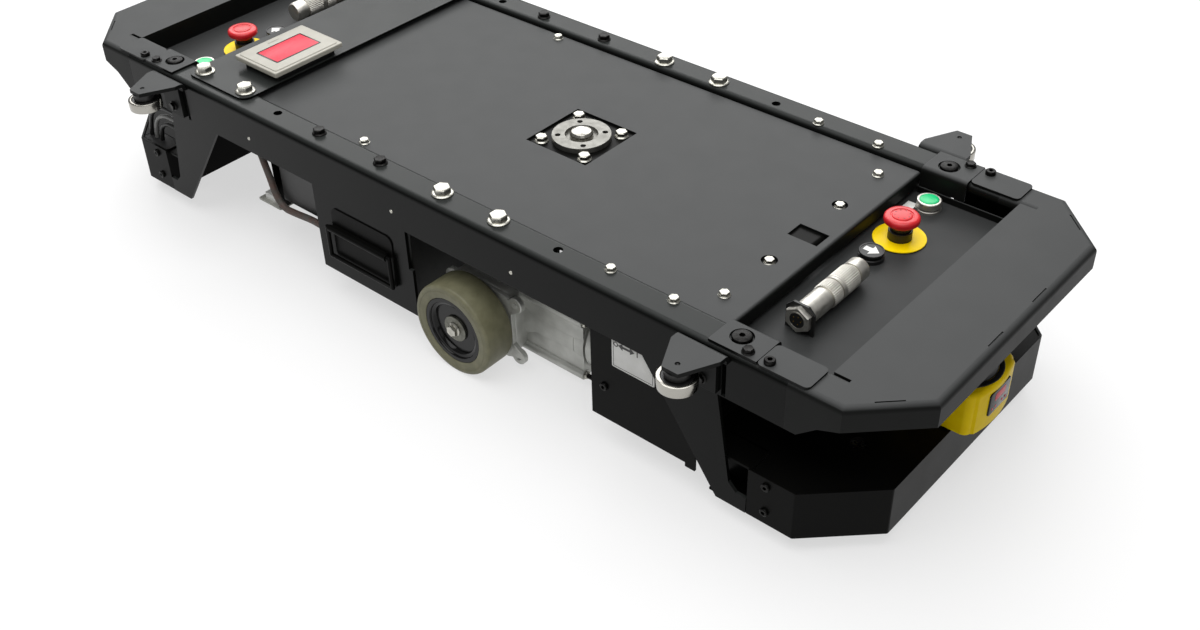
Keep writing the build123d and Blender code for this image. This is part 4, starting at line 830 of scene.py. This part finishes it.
def makeScanners(values):
    low, high, r, top = take(values, "low high domeRadius domeHeight")
    window, lamp = take(values, "windowHalf lampHalf")
    housings, domes, windows, lamps, stickers = [], [], [], [], []
    for turn in endTurns.values():
        housings.append((slabPart(scannerOutline(values), low, high, values["rim"], 5), turn))
        place = turn @ standOn(values["domeX"], 0, high)
        domes.append((ringPart([
            (r - 1.0, -4), (r + 4.8, -4), (r + 4.8, 0.3), (r + 4.2, 0.8), (r + 0.6, 0.8), (r - 1.0, 0.2)],
            96), place))
        domes.append((turnedPart([
            (0, -1), (r - 1.2, -1), (r - 1.2, 1.4), (r - 2.2, 3.2), (r - 3.4, 5), (r - 3.8, 7),
            (r - 8.6, top - 6), (r - 9.6, top - 2), (r - 11, top - 0.6), (r - 12.6, top), (0, top)], 96),
            place))
        face = turn @ standOn(values["nose"] - values["windowSink"], 0, 0, facingFront)
        windows.append((roundSlab(-window, window, low + 15, high - 8, 0, 2.5, 3, 0.6), face))
        lamps.append((roundSlab(-lamp, lamp, low + 30, high - 13, 2.4, 2.7, 1.5, 0.1), face))
        lamps += [(roundSlab(y - 1.6, y + 1.6, low + 20, low + 23, 2.4, 2.7, 1.2, 0.1), face)
                  for y in values["lampPlaces"]]
        for sign in sides.values():
            side = turn @ standOn(values["stickerX"], sign * values["half"], low + values["stickerRise"],
                                  facing((0, sign, 0)))
            stickers.append((roundSlab(-19, 19, -13, 13, -0.1, 0.15, 1, 0.05), side))
    for name, group, finish in (
            ("scannerHousings", housings, "yellowPlastic"), ("scannerWindows", windows, "glossPaint"),
            ("scannerLamps", lamps, "redWindow"), ("scannerStickers", stickers, "mustardLabel")):
        madePiece(name, group, finish, ["scanner_bodies"])
    madePiece("scannerDomes", domes, "blackPlastic", ["scanner_domes"])


makeScanners(scannerValues)
print("laser scanners made")


# Cables: three bent ones at the rear and a light braided loom below the deck
cableFinishes = ("greyBraid", "cableSheath", "silverSheath", "cableSheath")


def dressCables():
    # Splits the node's own tubes and gives each its sheath, the one that reaches furthest forward first
    shape = cleanCopy("wiring")
    shape.faces.index_update()
    groups = islands(shape)
    groups.sort(key=lambda group: -max(vert.co.x for face in group for vert in face.verts) * 10
                - max(vert.co.z for face in group for vert in face.verts))
    for index, group in enumerate(groups):
        keep = {face.index for face in group}
        tube = shape.copy()
        tube.faces.ensure_lookup_table()
        bmesh.ops.delete(tube, geom=[face for face in tube.faces if face.index not in keep], context="FACES")
        finishPiece("cable" + str(index + 1), tube, cableFinishes[index], ["wiring"])
    shape.free()


dressCables()
print("cables dressed")


# Gear motors: cast plate with two ears towards the front, barrel with a seam, flange and round motor
motorValues = {"wheelX": 76, "centreZ": 60, "faceY": 190, "plate": 6, "plateHalf": 53, "half": 45,
               "front": 128, "innerY": 104, "axisY": 125, "barrel": 41.5, "seam": 203,
               "flangeEnd": 218.5, "motorEnd": 316, "motorRadius": 42.5, "ribHalf": 40, "earX": 60,
               "earZ": 38, "earRadius": 10, "holeRadius": 3.5, "boltOffset": 38, "threadEnd": 232}


def makeGearMotors(values):
    half, front, long, rib, outer, plate = take(values, "half front plateHalf ribHalf faceY plate")
    x, hole, radius, barrel, seam, end = take(values, "earX holeRadius earRadius barrel seam flangeEnd")
    motor, stop, offset, tip = take(values, "motorRadius motorEnd boltOffset threadEnd")
    wheelX, centreZ, axisY, innerY = take(values, "wheelX centreZ axisY innerY")
    inner = outer - plate
    castings, tails = [], []
    for sign in sides.values():
        # The plate is drawn lying down, then stood up with its face outwards
        stand = standOn(wheelX, 0, centreZ, Matrix((
            (1, 0, 0, 0), (0, 0, sign, 0), (0, -sign, 0, 0), (0, 0, 0, 1))))
        castings.append((slabPart(roundedOutline(-long, long, -half, half, 12), inner, outer, 1.0), stand))
        for z in (-values["earZ"], values["earZ"]):
            ear = ringPart([
                (hole, inner - 1.5), (radius - 1, inner - 1.5), (radius, inner - 0.5), (radius, outer - 1),
                (radius - 1, outer), (hole + 0.6, outer), (hole, outer - 0.6)], 40)
            castings.append((ear, stand @ standOn(x, z, 0)))
            web = slabPart([(x * 0.72, z * 0.4), (x * 1.12, z * 0.82), (x * 1.12, z), (x * 0.72, z * 1.16)],
                           inner + 0.2, outer - 0.2, 0.6)
            castings.append((web, stand))
        block = slabPart(roundedOutline(-half, front - wheelX, -half, half, 14), innerY, inner + 0.5, 4, 4)
        axis = standOn(0, sign * axisY, centreZ, facing((1, 0, 0)))
        castings += [(block, stand), (turnedPart([
            (0, front - 12), (half - 0.5, front - 12), (half - 0.5, front - 2), (half - 1.2, front + 3),
            (barrel + 1, front + 9), (barrel, front + 16), (barrel, seam), (barrel - 0.7, seam),
            (barrel - 0.7, seam + 0.7), (barrel, seam + 0.7), (barrel + 0.6, end - 4), (barrel + 0.6, end),
            (barrel - 4, end), (barrel - 4, end + 3), (motor - 0.8, end + 3), (motor, end + 4),
            (motor, stop - 3), (motor - 3, stop), (0, stop)], 96), axis),
            (slabPart(roundedOutline(-rib, rib, -rib, rib, 6), front - 8, end - 0.6), axis)]
        for alongY in (-offset, offset):
            for alongZ in (-offset, offset):
                place = standOn(0, sign * axisY + alongY, centreZ + alongZ, facing((1, 0, 0)))
                castings.append((turnedPart([
                    (0, front - 8), (6.8, front - 8), (6.8, end - 0.8), (6, end), (0, end)], 32), place))
                tails.append((turnedPart([
                    (0, end + 3.8), (2.9, end + 3.8), (2.9, tip - 0.6), (2.3, tip), (0, tip)], 20), place))
    madePiece("gearMotors", castings, "castAluminium", ["drive_units"])
    madePiece("motorThreads", tails, "blackOxide", ["zinc_bolts"])


makeGearMotors(motorValues)
print("gear motors made")


# Sensor bracket: black strap with a light tray and its connector
sensorValues = {"sheet": 2, "foot": 11, "plugStart": 8, "plugLength": 20, "plugInset": 6,
                "plugHeight": 11}


def makeSensorBracket(values):
    low, high = (Vector(corner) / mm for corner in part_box("sensor_bracket"))
    sheet, wall = values["sheet"], high.x - values["foot"]
    strap = [
        (roundSlab(low.y, high.y, low.z + sheet, high.z - sheet, 0, sheet, 2, 0.2),
         standOn(wall - sheet, 0, 0, facingFront)),
        (roundSlab(wall - sheet, high.x, low.y, high.y, high.z - sheet, high.z, 1, 0.2), upright),
    ]
    madePiece("sensorStrap", strap, "sheetPaint", ["sensor_bracket"])
    tray = roundSlab(low.x, wall, low.y, high.y, low.z, low.z + sheet, 3, 0.3)
    madePiece("sensorTray", [(tray, upright)], "lightPaint", ["sensor_bracket"])
    start, inset = low.x + values["plugStart"], values["plugInset"]
    connector = roundSlab(start, start + values["plugLength"], low.y + inset, high.y - inset,
                          low.z + sheet, low.z + values["plugHeight"], 1.2, 0.6)
    madePiece("sensorConnector", [(connector, upright)], "whiteLabel")


makeSensorBracket(sensorValues)
print("sensor bracket made")


# Outer strips of the caster shelves, the front ones with a wall below, and the rubber plates round the cables
shelfValues = {"from": 424.2, "to": 490.2, "inner": 190.2, "outer": 220.7, "low": 79, "high": 82,
               "wallFrom": 440, "wallInner": 187.6, "wallLow": 21.6, "foot": 2.4,
               "grommet": (494.2, 551.4, 195.4, 219.4), "grommetSink": 0.2}


def makeShelfStrips(values):
    start, wallStart, stop, inner, outer, wall = take(values, "from wallFrom to inner outer wallInner")
    low, high, floor, foot, sink = take(values, "low high wallLow foot grommetSink")
    blocks = {"rear": [(start, stop, inner, outer, low, high)]}
    blocks["front"] = blocks["rear"] + [(wallStart, stop, wall, inner, floor, high),
                                        (wallStart, stop, wall, outer, floor, floor + foot)]
    strips = []
    for corner in corners:
        end, side = corner.split("_")
        for x0, x1, y0, y1, z0, z1 in blocks[end]:
            alongX = sorted((ends[end] * x0, ends[end] * x1))
            alongY = sorted((sides[side] * y0, sides[side] * y1))
            strips.append((roundSlab(*alongX, *alongY, z0, z1, 1, 0.3), upright))
    madePiece("shelfStrips", strips, "sheetPaint")
    grommets = [(roundSlab(*values["grommet"], low + sink, high - sink, 3, 0.5), turn)
                for turn in endTurns.values()]
    madePiece("cableGrommets", grommets, "greyRubber")


makeShelfStrips(shelfValues)
print("shelf strips made")


# Plates: plain white switch label behind the front leg, and a bare tag by each start button
plateValues = {"panelFace": -221, "left": 309.5, "right": 367, "low": 122, "high": 165,
               "inset": 2, "line": 0.6, "signRight": 20, "signDown": 11, "print": (0.7, 0.9),
               "tag": {"x": 441, "y": 147, "halfLong": 6, "halfWide": 7.5, "panTop": 189}}


def makePlates(values):
    x0, x1, z0, z1, inset, line = take(values, "left right low high inset line")
    turnPlate = Matrix(((1, 0, 0, 0), (0, 0, -1, values["panelFace"] * mm), (0, 1, 0, 0), (0, 0, 0, 1)))
    madePiece("switchPlate", [(roundSlab(x0, x1, z0, z1, 0, 0.8, 2, 0.2), turnPlate)], "whiteLabel")
    sign = turnPlate @ standOn(x0 + values["signRight"], z1 - values["signDown"], 0)
    low, high = values["print"]
    x0, x1, z0, z1 = x0 + inset, x1 - inset, z0 + inset, z1 - inset
    bars = [(x0, x1, z1 - line, z1, turnPlate), (x0, x1, z0, z0 + line, turnPlate),
            (x0, x0 + line, z0, z1, turnPlate), (x1 - line, x1, z0, z1, turnPlate),
            (14, 15.4, -3.5, 3.5, sign)]
    marks = [(slabPart([(a0, b0), (a1, b0), (a1, b1), (a0, b1)], low, high), place)
             for a0, a1, b0, b1, place in bars]
    marks.append((slabPart([(-11, 0), (-5, -4.5), (-5, -1.5), (5, -1.5), (5, -4.5), (11, 0), (5, 4.5),
                            (5, 1.5), (-5, 1.5), (-5, 4.5)], low, high), sign))
    marks.append((ringPart([(2.0, low), (3.2, low), (3.2, high), (2.0, high)], 32),
                  sign @ standOn(-14.2, 0, 0)))
    madePiece("switchPlateMarks", marks, "blackPlastic")
    x, y, long, wide, panTop = take(values["tag"], "x y halfLong halfWide panTop")
    tags = [(roundSlab(-long, long, -wide, wide, 0, 0.5, 1, 0.15), turn @ standOn(x, y, panTop))
            for turn in endTurns.values()]
    madePiece("buttonTags", tags, "whiteLabel")


makePlates(plateValues)
print("plates made")

kept = [node for node in sorted(frame["nodes"]) if node not in remade]
for node in kept:
    finish, edge = nodeFinishes[node]
    finishPiece(camelName(node), cleanCopy(node), finish, [node], frame["nodes"][node]["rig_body"], edge)
print("frame nodes dressed:", len(kept))


# Floor, backdrop and light
studioValues = {
    "floorSize": 24.0,
    "floorColour": "#a4a4a4",
    "floorGlow": 0.62,
    "worldLevel": 0.25,
    "rearLight": {"size": (3.2, 1.8), "level": 3.3, "distance": 2.6, "azimuth": 41.5, "elevation": 42.0},
    "topLight": {"size": (2.8, 2.8), "level": 2.6, "distance": 2.6, "azimuth": 200.0, "elevation": 80.0},
    "frontLight": {"size": (1.6, 1.2), "level": 0.6, "distance": 2.8, "azimuth": 232.0, "elevation": 24.0},
}


def makeFloor(values):
    shape = bmesh.new()
    bmesh.ops.create_grid(shape, x_segments=1, y_segments=1, size=values["floorSize"] / 2)
    floor = addObject("studioFloor", meshOf(shape, "studioFloor"))
    material = bpy.data.materials.new("paleFloor")
    tree = emptyTree(material)
    matt = addNode(tree, "BsdfDiffuse", {"Color": colour(values["floorColour"])})
    rays = addNode(tree, "LightPath")
    seen = addNode(tree, "Math", {"operation": "MAXIMUM"},
                   {0: rays.outputs["Is Camera Ray"], 1: rays.outputs["Is Glossy Ray"]})
    seen = addNode(tree, "Math", {"operation": "MAXIMUM"}, {0: seen, 1: rays.outputs["Is Transmission Ray"]})
    level = addNode(tree, "Math", {"operation": "MULTIPLY", 1: values["floorGlow"]}, {0: seen})
    glow = addNode(tree, "Emission", links={"Strength": level})
    both = addNode(tree, "AddShader", links={0: matt, 1: glow})
    addNode(tree, "OutputMaterial", links={"Surface": both})
    floor.data.materials.append(material)


def makeWorld(values):
    world = bpy.data.worlds.new("studioWorld")
    bpy.context.scene.world = world
    tree = emptyTree(world)
    rays = addNode(tree, "LightPath")
    level = addNode(tree, "MapRange", {"To Min": values["worldLevel"], "To Max": 1.0},
                    {"Value": rays.outputs["Is Camera Ray"]})
    sky = addNode(tree, "Background", {"Color": (1, 1, 1, 1)}, {"Strength": level})
    addNode(tree, "OutputWorld", links={"Surface": sky})


def makeLight(name, values):
    # A softbox that stands off at its azimuth and elevation and faces the middle of the vehicle
    azimuth = radians(values["azimuth"])
    elevation = radians(values["elevation"])
    away = Vector((-sin(azimuth) * cos(elevation), cos(azimuth) * cos(elevation), sin(elevation)))
    width, height = values["size"]
    data = bpy.data.lights.new(name, "AREA")
    data.shape = "RECTANGLE"
    data.size = width
    data.size_y = height
    data.energy = values["level"] * pi * width * height
    light = addObject(name, data)
    light.matrix_world = Matrix.Translation(away * values["distance"]) @ facing(away)


makeFloor(studioValues)
makeWorld(studioValues)
makeLight("rearSoftbox", studioValues["rearLight"])
makeLight("topSoftbox", studioValues["topLight"])
makeLight("frontSoftbox", studioValues["frontLight"])
bpy.context.scene.view_settings.view_transform = "Standard"
print("studio ready")
